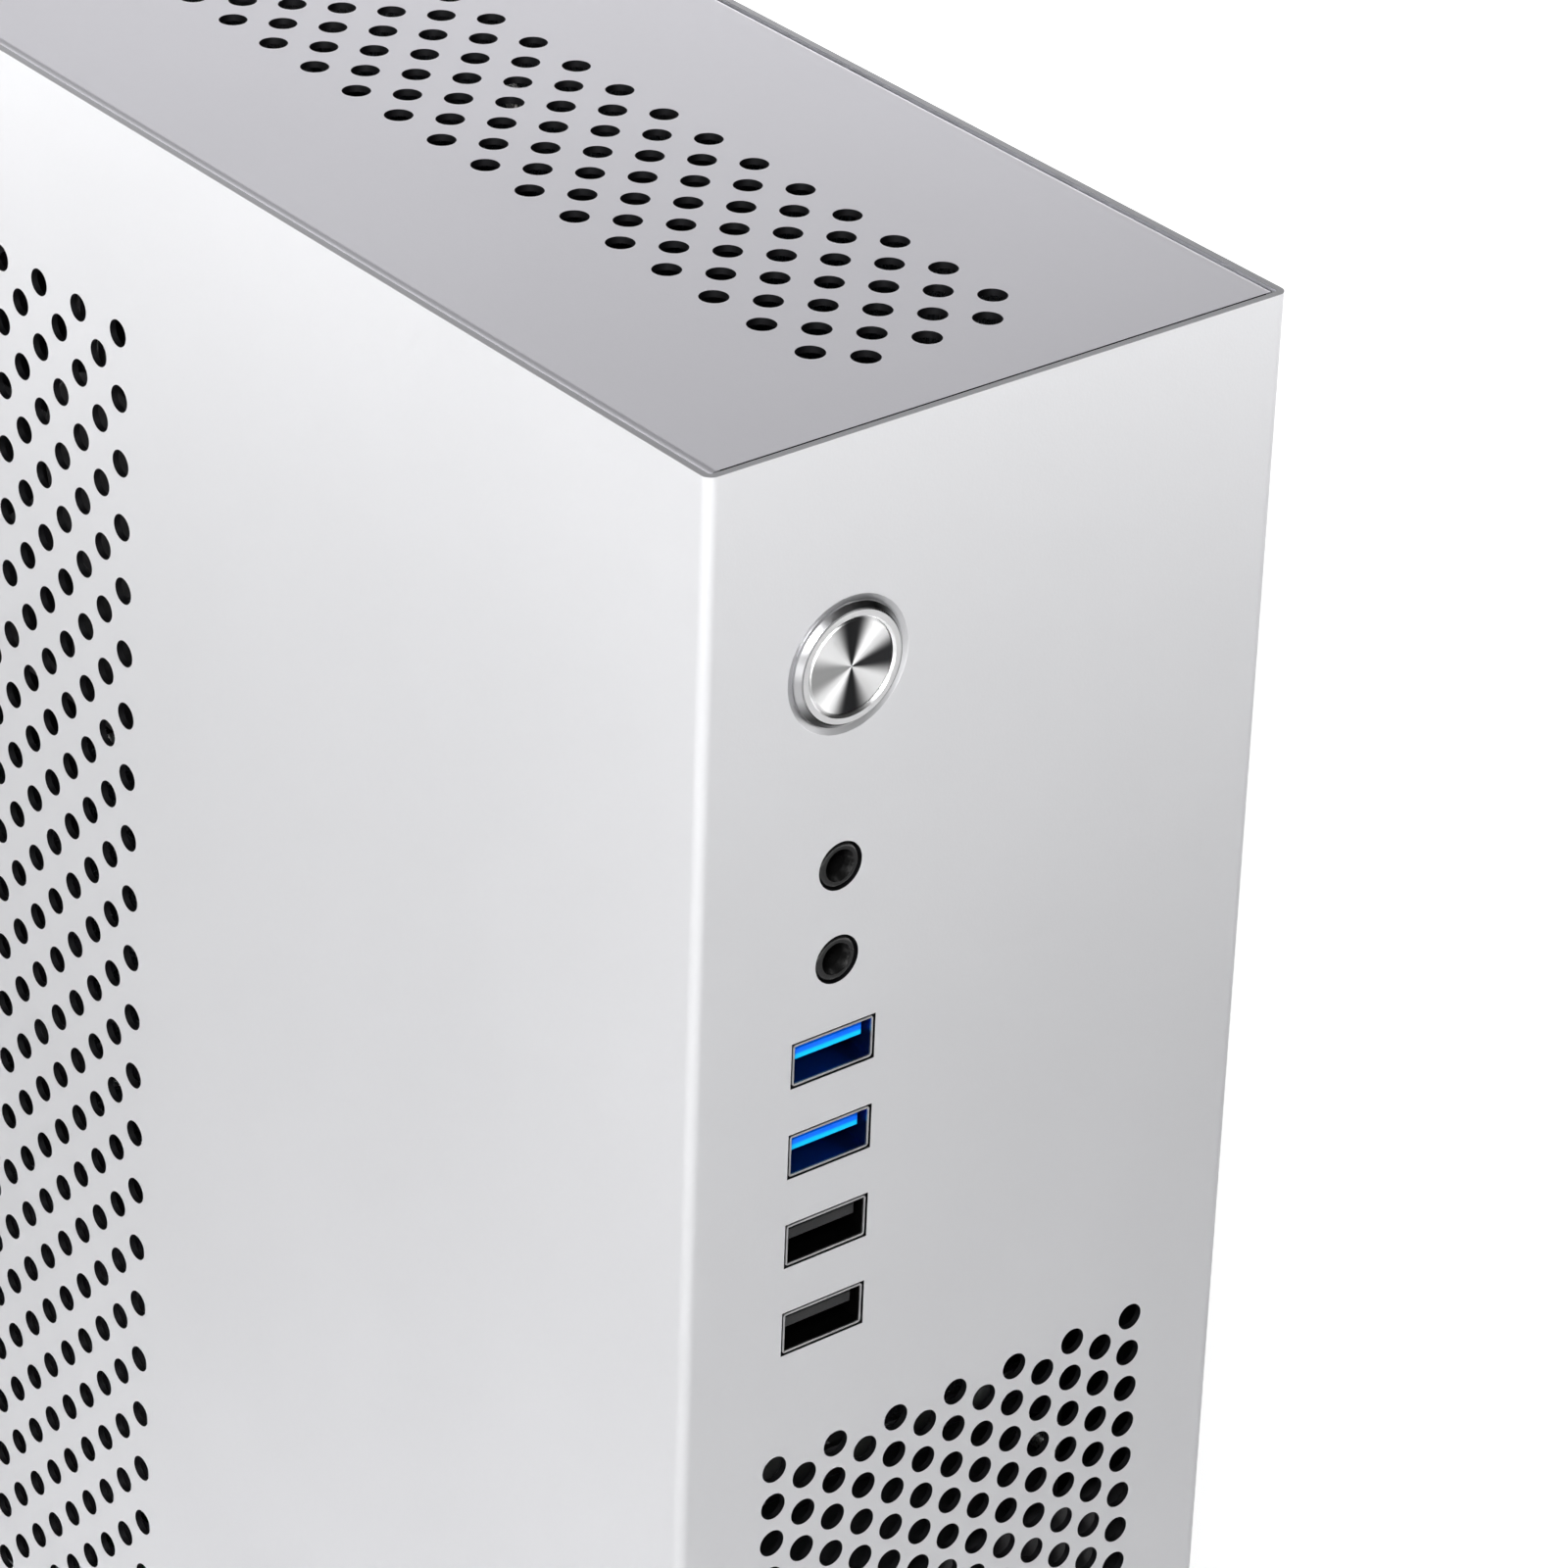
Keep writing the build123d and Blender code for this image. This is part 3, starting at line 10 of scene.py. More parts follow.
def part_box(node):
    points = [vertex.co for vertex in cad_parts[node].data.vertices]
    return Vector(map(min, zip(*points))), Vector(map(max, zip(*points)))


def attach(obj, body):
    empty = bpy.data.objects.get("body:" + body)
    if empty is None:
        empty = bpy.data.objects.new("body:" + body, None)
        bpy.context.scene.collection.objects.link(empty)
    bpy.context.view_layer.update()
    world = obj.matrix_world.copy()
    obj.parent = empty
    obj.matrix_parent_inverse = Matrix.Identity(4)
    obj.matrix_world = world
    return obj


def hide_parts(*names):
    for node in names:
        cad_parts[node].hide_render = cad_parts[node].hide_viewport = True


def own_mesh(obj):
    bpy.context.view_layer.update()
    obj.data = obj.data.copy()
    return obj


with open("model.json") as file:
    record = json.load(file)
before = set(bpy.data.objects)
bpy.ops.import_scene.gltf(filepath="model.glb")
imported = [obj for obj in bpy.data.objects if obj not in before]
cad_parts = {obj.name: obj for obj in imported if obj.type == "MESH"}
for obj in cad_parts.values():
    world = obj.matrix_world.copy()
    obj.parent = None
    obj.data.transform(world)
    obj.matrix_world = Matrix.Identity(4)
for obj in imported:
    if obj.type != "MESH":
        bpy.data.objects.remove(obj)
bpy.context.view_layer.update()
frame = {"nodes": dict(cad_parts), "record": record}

MM = 0.001

# the camera: a long lens looking down at the front left corner, with a slight roll
camera_place = (-0.488587, -0.699032, 0.675405)
camera_heading, camera_dip, camera_roll = radians(39.146), radians(29.319), radians(1.996)
camera_lens, camera_sensor = 151.956, 36.0  # millimetres, as Blender takes them

# the studio: a paper floor that glows behind and beside the tower, and again far from it
floor_reach = 12.0
table_glow = 0.75
glow_rise_x = (0.0, 60 * MM)
glow_rise_y = (-160 * MM, -80 * MM)
far_glow = 2.28
far_glow_rise = (700 * MM, 1300 * MM)
surround_light = 1.12
surround_edge = 0.60  # cosine of the angle from straight behind where the surround goes dark

# the soft boxes: place, the point each is aimed at, width of its square, and power in watts
tower_middle, near_corner = (0.0, 0.0, 0.25), (-0.04, -0.13, 0.30)
soft_boxes = {
    "left": ((-1.2, 0.0, 0.8), tower_middle, 0.8, 5.05),
    "back_left": ((-0.9, 0.9, 0.7), tower_middle, 0.8, 2.65),
    "back_floor": ((0.9, 1.0, 0.5), (0.7, 0.9, 0.0), 0.8, 4.6),
    "corner": ((-0.35, -0.45, 0.60), near_corner, 0.2, 4.4),
}

# places on the object that a finish follows
bend_radius = 1.5 * MM
skin_depth = 0.03 * MM  # anything deeper than this in the sheet was punched, and takes painted shade
cut_edge = 0.05 * MM  # how near the wrap's upper or lower edge its sawn face starts; that face is painted darker as seam shade
seam_height = 12.0 * MM  # the wrap's inner face shows above this, down the top cover's seam; below it, it takes painted shade
fold_width = 1.5 * MM  # the top cover's folded long edges
seat_radius = 9.75 * MM  # the countersink that the button sits in
seat_depth = 0.5 * MM
seat_shade = 0.25  # the share of the painted hole shade that the countersink takes
bevel_start = 7.8 * MM  # the radius where the button's bezel starts to slope
lip_depth = 0.25 * MM
port_pitch = 13.8 * MM
tongue_foot = 2.81 * MM  # from the insulator's lowest point up to its tongue
tongue_height = 1.84 * MM

# the pitch of the marks that tools and looms leave
turning_pitch = 0.18 * MM
spinning_pitch = 0.25 * MM
trace_pitch = 0.9 * MM
rib_pitch = 0.9 * MM

# the power button's return spring
wire_radius = 0.25 * MM
spring_turns = 4
steps_per_turn = 36

# painted shade for surfaces that light hardly reaches, and bare sawn metal darkened by painted seam shade
painted_shade_colour = (0.06, 0.06, 0.065)
sawn_and_seam_shade_colour = (0.48, 0.48, 0.50)


def corners_of(node):
    """A CAD node's lowest and highest corner."""
    return tuple(Vector(corner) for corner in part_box(node))


def middle_of(node):
    low, high = corners_of(node)
    return (low + high) / 2


# ---------------------------------------------------------------- finishes
class Finish:
    """A node material built round one Principled shader, in object coordinates (metres)."""

    def __init__(self, name, metallic=0.0, roughness=0.5):
        self.material = bpy.data.materials.new(name)
        self.material.use_nodes = True
        self.nodes = self.material.node_tree.nodes
        self.links = self.material.node_tree.links
        self.shader = self.nodes["Principled BSDF"]
        self.shader.inputs["Metallic"].default_value = metallic
        self.shader.inputs["Roughness"].default_value = roughness
        self.place = self.nodes.new("ShaderNodeTexCoord").outputs["Object"]

    def feed(self, socket, value):
        """Links a socket to another, or sets it to a number or colour."""
        if isinstance(value, bpy.types.NodeSocket):
            self.links.new(value, socket)
        else:
            socket.default_value = value

    def scaled(self, stretch):
        """The object coordinates multiplied along each axis."""
        mapping = self.nodes.new("ShaderNodeMapping")
        mapping.inputs["Scale"].default_value = stretch
        self.links.new(self.place, mapping.inputs["Vector"])
        return mapping.outputs["Vector"]

    def noise(self, grain, detail=3.0, stretch=(1, 1, 1), contrast=(0.3, 0.7)):
        """A 0 to 1 noise whose features are about one grain across, in metres."""
        noise = self.nodes.new("ShaderNodeTexNoise")
        noise.inputs["Scale"].default_value = 1 / grain
        noise.inputs["Detail"].default_value = detail
        self.links.new(self.scaled(stretch), noise.inputs["Vector"])
        return self.remap(noise.outputs["Fac"], contrast, (0, 1))

    def remap(self, value, source, target, smooth=False):
        """A value stretched from one range to another and clamped there."""
        node = self.nodes.new("ShaderNodeMapRange")
        node.interpolation_type = "SMOOTHSTEP" if smooth else "LINEAR"
        self.links.new(value, node.inputs["Value"])
        for name, number in zip(("From Min", "From Max", "To Min", "To Max"), (*source, *target)):
            node.inputs[name].default_value = number
        return node.outputs["Result"]

    def maths(self, operation, *values):
        """One maths node over sockets or numbers."""
        node = self.nodes.new("ShaderNodeMath")
        node.operation = operation
        for socket, value in zip(node.inputs, values):
            self.feed(socket, value)
        return node.outputs["Value"]

    def blend(self, factor, low, high):
        """A colour between two, by a factor."""
        node = self.nodes.new("ShaderNodeMix")
        node.data_type = "RGBA"
        self.feed(node.inputs["Factor"], factor)
        for socket, colour in ((node.inputs[6], low), (node.inputs[7], high)):
            self.feed(socket, colour if isinstance(colour, bpy.types.NodeSocket) else (*colour, 1))
        return node.outputs[2]

    def paint(self, colour):
        self.feed(self.shader.inputs["Base Color"], colour)

    def roughen(self, value, low, high):
        self.links.new(self.remap(value, (0, 1), (low, high)), self.shader.inputs["Roughness"])

    def emboss(self, height, depth, strength=1.0):
        """Bumps the surface by a 0 to 1 height, over a depth in metres."""
        bump = self.nodes.new("ShaderNodeBump")
        bump.inputs["Distance"].default_value = depth
        bump.inputs["Strength"].default_value = strength
        self.links.new(height, bump.inputs["Height"])
        if self.shader.inputs["Normal"].is_linked:
            before = self.shader.inputs["Normal"].links[0].from_socket
            self.links.new(before, bump.inputs["Normal"])
        self.links.new(bump.outputs["Normal"], self.shader.inputs["Normal"])

    def coordinate(self, axis):
        split = self.nodes.new("ShaderNodeSeparateXYZ")
        self.links.new(self.place, split.inputs["Vector"])
        return split.outputs[axis]

    def distance_from(self, centre, axes):
        """The distance from a centre, counted along the named axes only."""
        squares = []
        for axis in axes:
            offset = self.maths("SUBTRACT", self.coordinate(axis), centre["XYZ".index(axis)])
            squares.append(self.maths("MULTIPLY", offset, offset))
        return self.maths("SQRT", self.maths("ADD", *squares))

    def fans(self, centre, count, first):
        """A -1 to 1 wave round an axis along Y, with its crests at `first` and evenly on."""
        across = self.maths("SUBTRACT", self.coordinate("X"), centre.x)
        up = self.maths("SUBTRACT", self.coordinate("Z"), centre.z)
        angle = self.maths("SUBTRACT", self.maths("ARCTAN2", up, across), first)
        return self.maths("COSINE", self.maths("MULTIPLY", angle, count))


def anodised_aluminium(name="anodised_aluminium", tint=(0.998, 1.0, 1.02), marks=()):
    """Bead-blasted, anodised sheet with a very fine grain, and other colours where marks say so, such as
    painted shade.
    """
    finish = Finish(name, metallic=1.0)
    grain = finish.noise(0.35 * MM, detail=2.0)
    cloud = finish.noise(60 * MM, detail=2.0)
    low = [0.797 * part for part in tint]
    high = [0.822 * part for part in tint]
    colour = finish.blend(cloud, low, high)
    for mask, other in marks:
        colour = finish.blend(mask(finish), colour, other)
    finish.paint(colour)
    finish.roughen(finish.noise(1.2 * MM, detail=4.0), 0.42, 0.45)
    finish.emboss(grain, 0.004 * MM)
    return finish


def wrap_aluminium():
    """The wrap's sheet: anodised outside, with painted shade in its holes and a darker sawn edge that is
    partly painted seam shade.
    """
    low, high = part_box("outer_shell")
    button = middle_of("button_housing")

    def depth(finish):
        """How deep a point lies in the sheet, with the two vertical bends followed round."""
        x, y = finish.coordinate("X"), finish.coordinate("Y")
        from_left = finish.maths("SUBTRACT", x, low[0])
        from_right = finish.maths("SUBTRACT", high[0], x)
        across = finish.maths("MINIMUM", from_left, from_right)
        behind = finish.maths("SUBTRACT", y, low[1])
        squares = []
        for offset in (across, behind):
            short = finish.maths("MAXIMUM", finish.maths("SUBTRACT", bend_radius, offset), 0)
            squares.append(finish.maths("MULTIPLY", short, short))
        reach = finish.maths("SQRT", finish.maths("ADD", *squares))
        return finish.maths("SUBTRACT", bend_radius, reach)

    def painted_shade_inside(finish):
        """Painted shade on everything under the skin, fainter in the button's countersink."""
        deep = depth(finish)
        beyond_button = finish.maths(
            "GREATER_THAN", finish.distance_from(button, "XZ"), seat_radius
        )
        below_seat = finish.maths("GREATER_THAN", deep, seat_depth)
        strength = finish.maths("MAXIMUM", finish.maths("MAXIMUM", beyond_button, below_seat), seat_shade)
        below_seam = finish.maths("LESS_THAN", finish.coordinate("Z"), high[2] - seam_height)
        under_skin = finish.maths("GREATER_THAN", deep, skin_depth)
        return finish.maths("MULTIPLY", finish.maths("MULTIPLY", under_skin, below_seam), strength)

    # painted seam shade: the wrap's cut edges are bare metal, painted a darker grey than the anodised
    # face
    def sawn_and_seam_shade(finish):
        z = finish.coordinate("Z")
        upper = finish.maths("GREATER_THAN", z, high[2] - cut_edge)
        lower = finish.maths("LESS_THAN", z, low[2] + cut_edge)
        return finish.maths("MAXIMUM", upper, lower)

    marks = ((painted_shade_inside, painted_shade_colour), (sawn_and_seam_shade, sawn_and_seam_shade_colour))
    return anodised_aluminium("wrap_aluminium", marks=marks)


def cover_aluminium():
    """The top cover's sheet, a little cooler than the wrap, with painted shade in its holes."""
    low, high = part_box("top_cover")

    # painted shade: everything below the top skin and inside the folded edges, such as hole walls, is
    # painted dark
    def painted_shade_inside(finish):
        under = finish.maths("LESS_THAN", finish.coordinate("Z"), high[2] - skin_depth)
        offset = finish.maths("ABSOLUTE", finish.coordinate("X"))
        shaded_inside = finish.maths("LESS_THAN", offset, high[0] - fold_width)
        return finish.maths("MULTIPLY", under, shaded_inside)

    tint = (1.0, 0.99, 1.05)
    return anodised_aluminium("cover_aluminium", tint, marks=((painted_shade_inside, painted_shade_colour),))


def port_shell(name, node, shaded_inside):
    """A plated receptacle shell: bright on its lip, with painted shade inside its mouth."""
    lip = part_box(node)[0][1] + lip_depth
    finish = Finish(name, metallic=1.0)
    within = finish.maths("GREATER_THAN", finish.coordinate("Y"), lip)
    plating = finish.blend(finish.noise(3 * MM), (0.44, 0.44, 0.45), (0.60, 0.60, 0.60))
    finish.paint(finish.blend(within, plating, shaded_inside))
    finish.roughen(finish.noise(0.8 * MM, detail=5.0), 0.28, 0.42)
    finish.emboss(finish.noise(0.8 * MM, detail=5.0), 0.003 * MM)
    return finish


def turned_metal():
    """Bright turned metal with faint concentric tool marks, and a painted dark reflection on the bevel
    that deepens in two places.
    """
    finish = Finish("turned_metal", metallic=1.0)
    centre = middle_of("button_housing")
    radius = finish.distance_from(centre, "XZ")
    rings = finish.maths("SINE", finish.maths("MULTIPLY", radius, 2 * pi / turning_pitch))
    bevel = finish.maths("GREATER_THAN", radius, bevel_start)
    painted_bevel_reflection = finish.remap(finish.fans(centre, 2, radians(55)), (0.3, 0.95), (0, 1))
    bright = finish.blend(finish.noise(4 * MM), (0.93, 0.93, 0.94), (0.98, 0.98, 0.98))
    # painted reflection: the bevel is painted grey, and near black where the two fans peak
    dark = finish.blend(painted_bevel_reflection, (0.50, 0.50, 0.51), (0.03, 0.03, 0.03))
    finish.paint(finish.blend(bevel, bright, dark))
    finish.roughen(finish.noise(0.6 * MM), 0.28, 0.34)
    finish.emboss(finish.remap(rings, (-1, 1), (0, 1)), 0.0015 * MM)
    return finish


def spun_metal():
    """The cap's face: very fine grooves that spread the light, and four dark fans painted into its colour
    as a painted reflection, weaker on the left.
    """
    finish = Finish("spun_metal", metallic=1.0)
    finish.shader.inputs["Anisotropic"].default_value = 0.92
    tangent = finish.nodes.new("ShaderNodeTangent")
    tangent.direction_type = "RADIAL"
    tangent.axis = "Y"
    finish.links.new(tangent.outputs["Tangent"], finish.shader.inputs["Tangent"])
    centre = middle_of("button_cap")
    radius = finish.distance_from(centre, "XZ")
    rings = finish.maths("SINE", finish.maths("MULTIPLY", radius, 2 * pi / spinning_pitch))
    fans = finish.remap(finish.fans(centre, 4, 0.0), (-0.7, 0.9), (0, 1), smooth=True)
    weaker_left = finish.remap(finish.fans(centre, 1, 0.0), (-1.0, -0.6), (0.6, 1.0))
    painted_reflection_fans = finish.maths("MULTIPLY", fans, weaker_left)
    # painted reflection: four dark fans across the bright spun face
    finish.paint(finish.blend(painted_reflection_fans, (0.98, 0.98, 0.98), (0.035, 0.035, 0.037)))
    finish.roughen(finish.noise(0.5 * MM), 0.30, 0.38)
    finish.emboss(finish.remap(rings, (-1, 1), (0, 1)), 0.0008 * MM)
    return finish


def sheet_steel(name="sheet_steel", dark=(0.50, 0.51, 0.53), light=(0.66, 0.67, 0.68)):
    """Zinc plated sheet: soft mottling with fine rolling lines."""
    finish = Finish(name, metallic=1.0)
    mottle = finish.noise(14 * MM, detail=5.0)
    lines = finish.noise(0.5 * MM, detail=3.0, stretch=(1, 1, 0.03))
    finish.paint(finish.blend(mottle, dark, light))
    finish.roughen(finish.maths("MULTIPLY", mottle, lines), 0.30, 0.50)
    finish.emboss(lines, 0.006 * MM)
    return finish


def bright_plate(name, dark, light, rough=(0.2, 0.34)):
    """Plated small parts with faint handling marks."""
    finish = Finish(name, metallic=1.0)
    marks = finish.noise(0.8 * MM, detail=5.0)
    finish.paint(finish.blend(finish.noise(3 * MM), dark, light))
    finish.roughen(marks, *rough)
    finish.emboss(marks, 0.003 * MM)
    return finish


def moulded_plastic(name, dark, light, rough=(0.38, 0.55), grain=0.25 * MM):
    """Moulded plastic with a fine spark-eroded texture and slow colour drift."""
    finish = Finish(name)
    finish.paint(finish.blend(finish.noise(8 * MM), dark, light))
    finish.roughen(finish.noise(2 * MM), *rough)
    finish.emboss(finish.noise(grain, detail=1.0), 0.008 * MM)
    return finish


def blue_tongue():
    """The blue insulator of a fast port: clear blue that lightens to cyan at its lower edge."""
    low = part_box("usb3_tongues")[0]
    finish = Finish("usb3_blue")
    rise = finish.maths("SUBTRACT", finish.coordinate("Z"), low[2])
    height = finish.maths("SUBTRACT", finish.maths("MODULO", rise, port_pitch), tongue_foot)
    edge = finish.remap(height, (0.35 * tongue_height, 0.55 * tongue_height), (1, 0))
    drift = finish.blend(finish.noise(2 * MM), (0.0, 0.13, 0.88), (0.0, 0.17, 0.98))
    finish.paint(finish.blend(edge, drift, (0.0, 0.52, 1.0)))
    finish.shader.inputs["Specular IOR Level"].default_value = 0.15
    finish.roughen(finish.noise(0.6 * MM), 0.35, 0.5)
    finish.emboss(finish.noise(0.2 * MM, detail=1.0), 0.006 * MM)
    return finish


def circuit_board(name, mask, trace):
    """Solder mask over copper: straight traces that change direction from patch to patch."""
    finish = Finish(name)
    patches = finish.nodes.new("ShaderNodeTexVoronoi")
    patches.inputs["Scale"].default_value = 1 / (9 * MM)
    finish.links.new(finish.place, patches.inputs["Vector"])
    chance = finish.nodes.new("ShaderNodeSeparateColor")
    finish.links.new(patches.outputs["Color"], chance.inputs["Color"])
    turned = finish.maths("GREATER_THAN", chance.outputs[0], 0.5)
    along = finish.maths("ADD", finish.coordinate("X"), finish.coordinate("Y"))
    position = finish.nodes.new("ShaderNodeMix")
    finish.feed(position.inputs["Factor"], turned)
    finish.feed(position.inputs[2], along)
    finish.feed(position.inputs[3], finish.coordinate("Z"))
    wave = finish.maths("SINE", finish.maths("MULTIPLY", position.outputs[0], 2 * pi / trace_pitch))
    laid = finish.maths("GREATER_THAN", chance.outputs[1], 0.35)
    traces = finish.maths("MULTIPLY", finish.remap(wave, (0.0, 0.35), (0, 1)), laid)
    finish.paint(finish.blend(traces, mask, trace))
    finish.roughen(finish.noise(1.5 * MM), 0.22, 0.34)
    finish.emboss(traces, 0.02 * MM)
    return finish


def milled_aluminium():
    """Plain heatsink aluminium with saw and extrusion lines."""
    finish = Finish("milled_aluminium", metallic=1.0)
    lines = finish.noise(0.3 * MM, detail=4.0, stretch=(1, 1, 0.05))
    finish.paint(finish.blend(finish.noise(6 * MM), (0.60, 0.61, 0.62), (0.74, 0.75, 0.76)))
    finish.roughen(lines, 0.28, 0.46)
    finish.emboss(lines, 0.01 * MM)
    return finish


def foot_rubber():
    """Black rubber with a bloom of lighter dust."""
    finish = Finish("foot_rubber")
    dust = finish.noise(5 * MM, detail=6.0, contrast=(0.45, 0.75))
    finish.paint(finish.blend(dust, (0.018, 0.018, 0.018), (0.05, 0.05, 0.048)))
    finish.roughen(dust, 0.62, 0.85)
    finish.emboss(finish.noise(0.4 * MM), 0.02 * MM)
    return finish


def cable_sleeve():
    """A woven sleeve: two crossing sets of ribs."""
    finish = Finish("cable_sleeve")
    ribs = []
    for sign in (1, -1):
        slant = finish.maths(
            "ADD", finish.coordinate("Z"), finish.maths("MULTIPLY", finish.coordinate("Y"), sign)
        )
        ribs.append(finish.maths("SINE", finish.maths("MULTIPLY", slant, 2 * pi / rib_pitch)))
    weave = finish.remap(finish.maths("MAXIMUM", *ribs), (-1, 1), (0, 1))
    finish.paint(finish.blend(weave, (0.008, 0.008, 0.009), (0.035, 0.035, 0.037)))
    finish.roughen(weave, 0.75, 0.5)
    finish.emboss(weave, 0.08 * MM)
    return finish


def fine_paint(name, dark, light):
    """Matt paint with a fine orange peel."""
    finish = Finish(name)
    finish.paint(finish.blend(finish.noise(10 * MM), dark, light))
    finish.roughen(finish.noise(1 * MM), 0.42, 0.56)
    finish.emboss(finish.noise(0.6 * MM, detail=1.0), 0.01 * MM)
    return finish


def make_finishes():
    """One finish for each material slot of the record."""
    plated = ((0.62, 0.61, 0.60), (0.76, 0.75, 0.74))
    return {
        "satin_aluminium": anodised_aluminium(),
        "button_metal": turned_metal(),
        "cap_metal": spun_metal(),
        "zinc_steel": sheet_steel(),
        "screw_steel": bright_plate("screw_steel", *plated),
        "standoff_brass": bright_plate("standoff_brass", (0.62, 0.44, 0.19), (0.76, 0.56, 0.27)),
        "port_steel": bright_plate("port_steel", (0.50, 0.50, 0.51), (0.66, 0.66, 0.67), (0.28, 0.42)),
        "usb3_blue": blue_tongue(),
        "black_plastic": moulded_plastic("black_plastic", (0.004, 0.004, 0.005), (0.012, 0.012, 0.013)),
        "fan_plastic": moulded_plastic(
            "fan_plastic", (0.014, 0.014, 0.015), (0.030, 0.030, 0.032), (0.28, 0.42)
        ),
        "board_black": circuit_board("board_black", (0.006, 0.008, 0.010), (0.022, 0.028, 0.034)),
        "board_green": circuit_board("board_green", (0.006, 0.060, 0.022), (0.020, 0.140, 0.055)),
        "heatsink_aluminium": milled_aluminium(),
        "cpu_metal": bright_plate("cpu_metal", (0.55, 0.55, 0.56), (0.68, 0.68, 0.69), (0.24, 0.36)),
        "drive_black": fine_paint("drive_black", (0.016, 0.016, 0.018), (0.032, 0.032, 0.035)),
        "foot_rubber": foot_rubber(),
        "cable_black": cable_sleeve(),
        "contact_metal": bright_plate("contact_metal", (0.66, 0.52, 0.28), (0.80, 0.66, 0.40)),
        "spring_steel": bright_plate("spring_steel", (0.34, 0.34, 0.35), (0.48, 0.48, 0.49)),
    }


def dress_nodes(finishes):
    """Gives every CAD node its own finish, or else that of its material slot."""
    # painted shade: the rear parts take a darker copy of the zinc-plated steel, to hold them down under
    # the bright light from behind
    shaded_rear_steel = sheet_steel("shaded_rear_steel", (0.24, 0.245, 0.255), (0.32, 0.325, 0.33))
    own = {
        "outer_shell": wrap_aluminium(),
        "top_cover": cover_aluminium(),
        "rear_panel": shaded_rear_steel,
        "slot_covers": shaded_rear_steel,
        "io_shield": shaded_rear_steel,
        "audio_jacks": moulded_plastic("jack_plastic", (0.003,) * 3, (0.006,) * 3, (0.20, 0.28)),
        # the port shells' last colour is painted shade inside the mouth, dark blue in the blue ports
        "usb3_shells": port_shell("usb3_shell", "usb3_shells", (0.02, 0.07, 0.26)),
        "usb2_shells": port_shell("usb2_shell", "usb2_shells", (0.03, 0.03, 0.03)),
    }
    for part in frame["record"]["subparts"]:
        finish = own.get(part["node"], finishes[part["material_slot"]])
        for slot in frame["nodes"][part["node"]].material_slots:
            slot.material = finish.material


# ---------------------------------------------------------------- the return spring
def make_return_spring(finish):
    """The button's coil spring, made anew as a coiled curve turned into a mesh."""
    low, high = corners_of("button_spring")
    middle, radius = (low + high) / 2, (high.x - low.x) / 2 - wire_radius
    start, rise = low.y + wire_radius, high.y - low.y - 2 * wire_radius
    curve = bpy.data.curves.new("return_spring", "CURVE")
    curve.dimensions = "3D"
    curve.bevel_depth = wire_radius
    curve.use_fill_caps = True
    steps = spring_turns * steps_per_turn
    coil = curve.splines.new("POLY")
    coil.points.add(steps)
    for step, point in enumerate(coil.points):
        angle = 2 * pi * step / steps_per_turn
        x, z = middle.x + radius * sin(angle), middle.z + radius * cos(angle)
        point.co = (x, start + rise * step / steps, z, 1)
    pattern = bpy.data.objects.new("coil", curve)
    mesh = bpy.data.meshes.new_from_object(pattern)
    bpy.data.objects.remove(pattern)
    mesh.materials.clear()
    mesh.materials.append(finish.material)
    spring = bpy.data.objects.new("return_spring", mesh)
    bpy.context.collection.objects.link(spring)
    return spring


def fit_return_spring(finish):
    """The new spring stands for the CAD one, on the chassis."""
    spring = make_return_spring(finish)
    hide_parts("button_spring")
    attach(spring, "chassis")
    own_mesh(spring)


# ---------------------------------------------------------------- studio
def add_floor():
    """A plain pale floor, far wider than the view, that glows in part."""
    signs = ((-1, -1), (1, -1), (1, 1), (-1, 1))
    corners = [(x * floor_reach, y * floor_reach, 0) for x, y in signs]
    mesh = bpy.data.meshes.new("floor")
    mesh.from_pydata(corners, [], [(0, 1, 2, 3)])
    floor = bpy.data.objects.new("floor", mesh)
    bpy.context.collection.objects.link(floor)
    finish = Finish("floor_paper", roughness=0.8)
    finish.paint(finish.blend(finish.noise(0.3), (0.88, 0.88, 0.885), (0.90, 0.90, 0.905)))
    beside = finish.remap(finish.coordinate("X"), glow_rise_x, (0, 1), smooth=True)
    behind = finish.remap(finish.coordinate("Y"), glow_rise_y, (0, table_glow), smooth=True)
    away = finish.distance_from((0, 0, 0), "XY")
    far = finish.remap(away, far_glow_rise, (0, far_glow), smooth=True)
    glow = finish.maths("ADD", finish.maths("MULTIPLY", beside, behind), far)
    finish.shader.inputs["Emission Color"].default_value = (1, 1, 1, 1)
    finish.feed(finish.shader.inputs["Emission Strength"], glow)
    mesh.materials.append(finish.material)


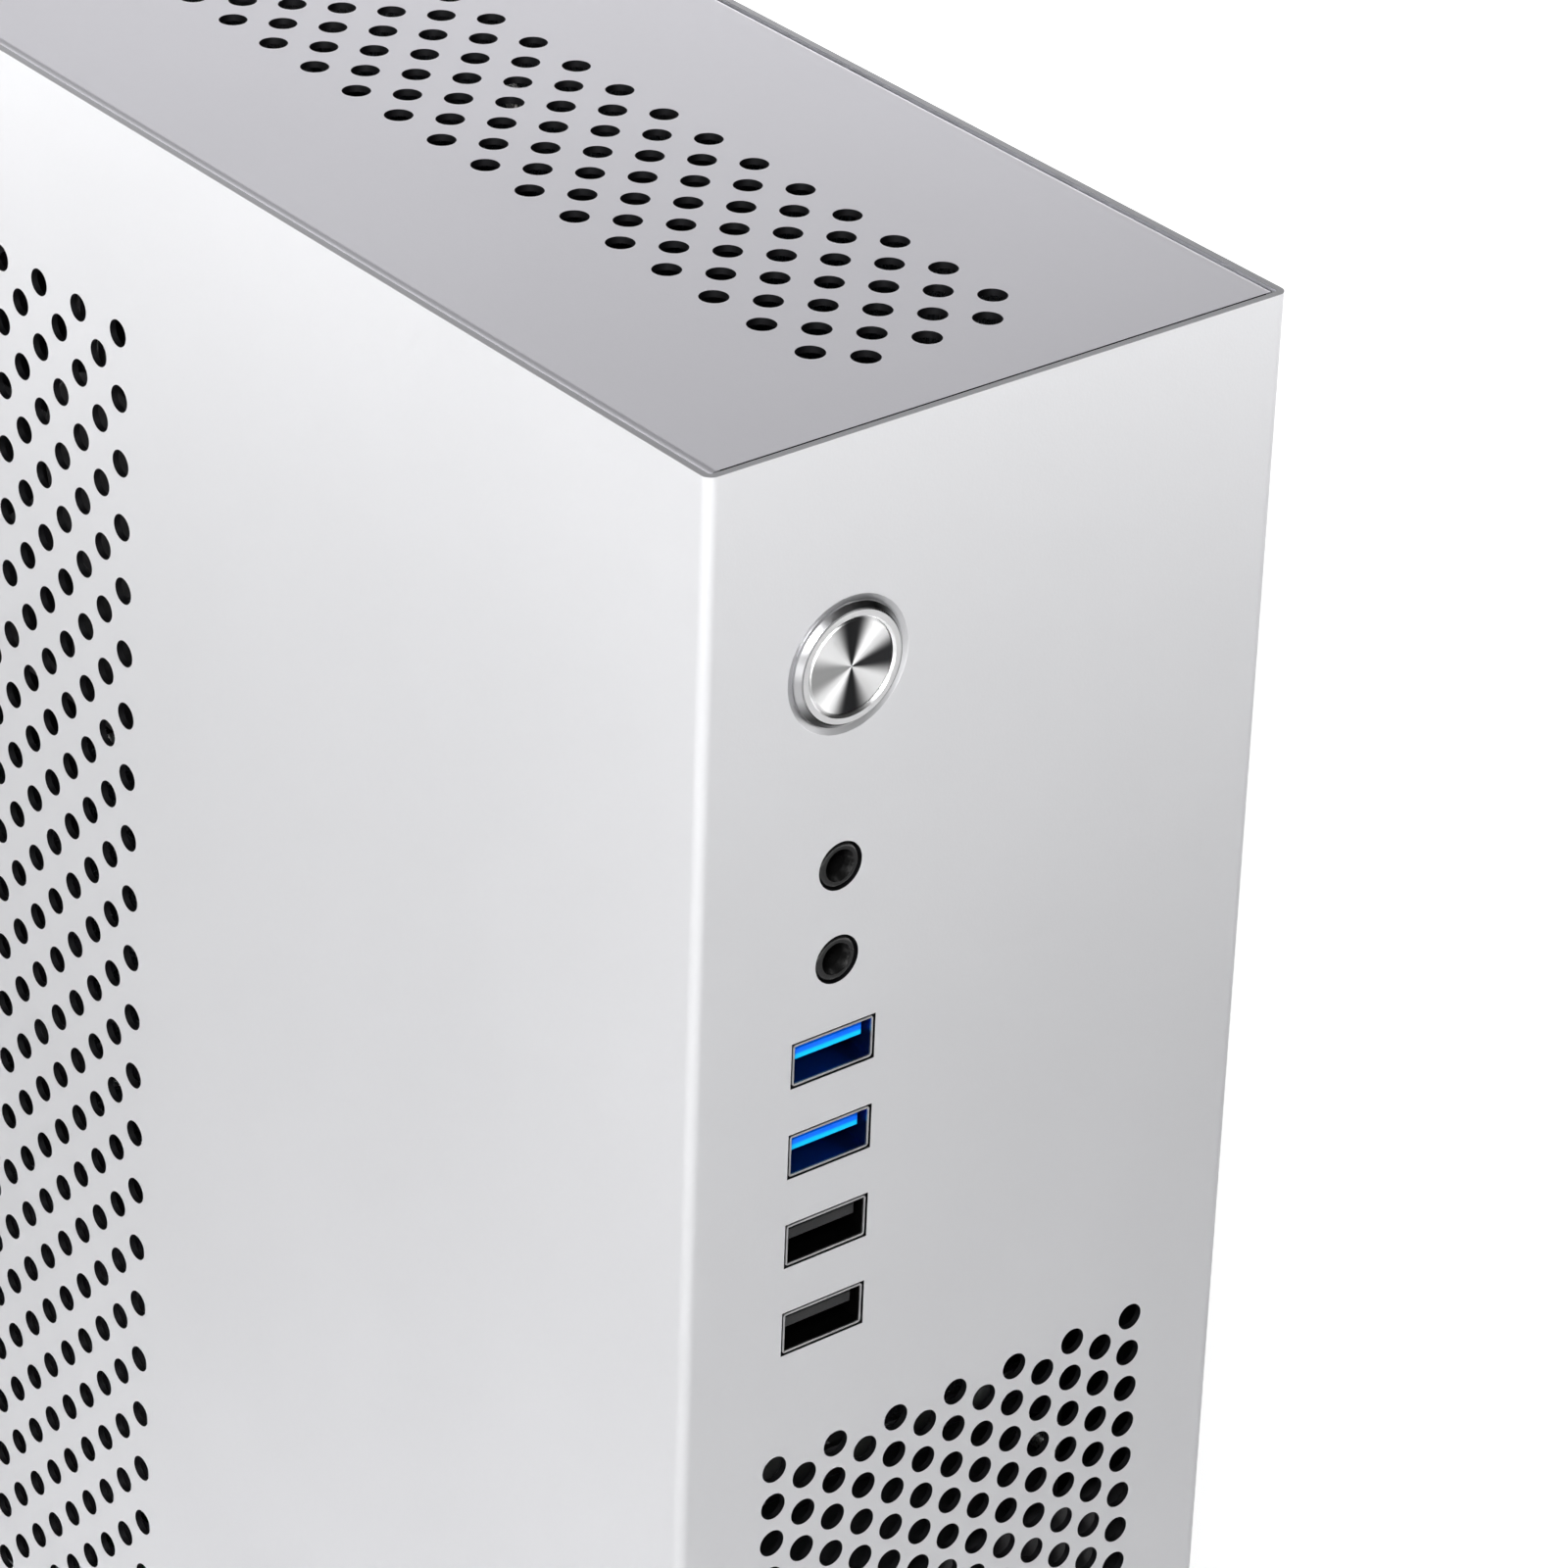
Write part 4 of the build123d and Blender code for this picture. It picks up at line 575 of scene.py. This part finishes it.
def add_soft_box(name, place, target, width, power):
    """A square area light aimed at a point."""
    light = bpy.data.lights.new(name, "AREA")
    light.shape = "SQUARE"
    light.size = width
    light.energy = power
    holder = bpy.data.objects.new(name, light)
    holder.location = place
    holder.rotation_euler = (Vector(target) - Vector(place)).to_track_quat("-Z", "Y").to_euler()
    bpy.context.collection.objects.link(holder)


def add_world():
    """Soft light from behind the tower, brightest straight behind it."""
    world = bpy.data.worlds.new("studio")
    world.use_nodes = True
    nodes, links = world.node_tree.nodes, world.node_tree.links
    direction = nodes.new("ShaderNodeTexCoord").outputs["Generated"]
    facing = nodes.new("ShaderNodeVectorMath")
    facing.operation = "DOT_PRODUCT"
    facing.inputs[1].default_value = (0, 1, 0)
    links.new(direction, facing.inputs[0])
    spread = nodes.new("ShaderNodeMapRange")
    spread.inputs["From Min"].default_value = surround_edge
    spread.inputs["To Max"].default_value = surround_light
    links.new(facing.outputs["Value"], spread.inputs["Value"])
    links.new(spread.outputs["Result"], nodes["Background"].inputs["Strength"])
    nodes["Background"].inputs["Color"].default_value = (1, 1, 1, 1)
    bpy.context.scene.world = world


def add_lights():
    """Large soft boxes at the left and low behind, and a small one above the near corner."""
    bpy.context.scene.view_settings.view_transform = "Standard"
    add_world()
    for name, settings in soft_boxes.items():
        add_soft_box(name, *settings)


def add_camera():
    """The camera, at the photograph's place, angle and lens."""
    along, down = cos(camera_dip), -sin(camera_dip)
    forward = Vector((sin(camera_heading) * along, cos(camera_heading) * along, down))
    level = forward.cross(Vector((0, 0, 1))).normalized()
    upright = level.cross(forward)
    right = level * cos(camera_roll) + upright * sin(camera_roll)
    axes = Matrix((right, right.cross(forward), -forward)).transposed()
    camera = bpy.data.cameras.new("camera")
    camera.lens, camera.sensor_width = camera_lens, camera_sensor
    holder = bpy.data.objects.new("camera", camera)
    holder.matrix_world = Matrix.Translation(camera_place) @ axes.to_4x4()
    bpy.context.collection.objects.link(holder)
    bpy.context.scene.camera = holder


add_camera()
finishes = make_finishes()
dress_nodes(finishes)
fit_return_spring(finishes["spring_steel"])
add_floor()
add_lights()
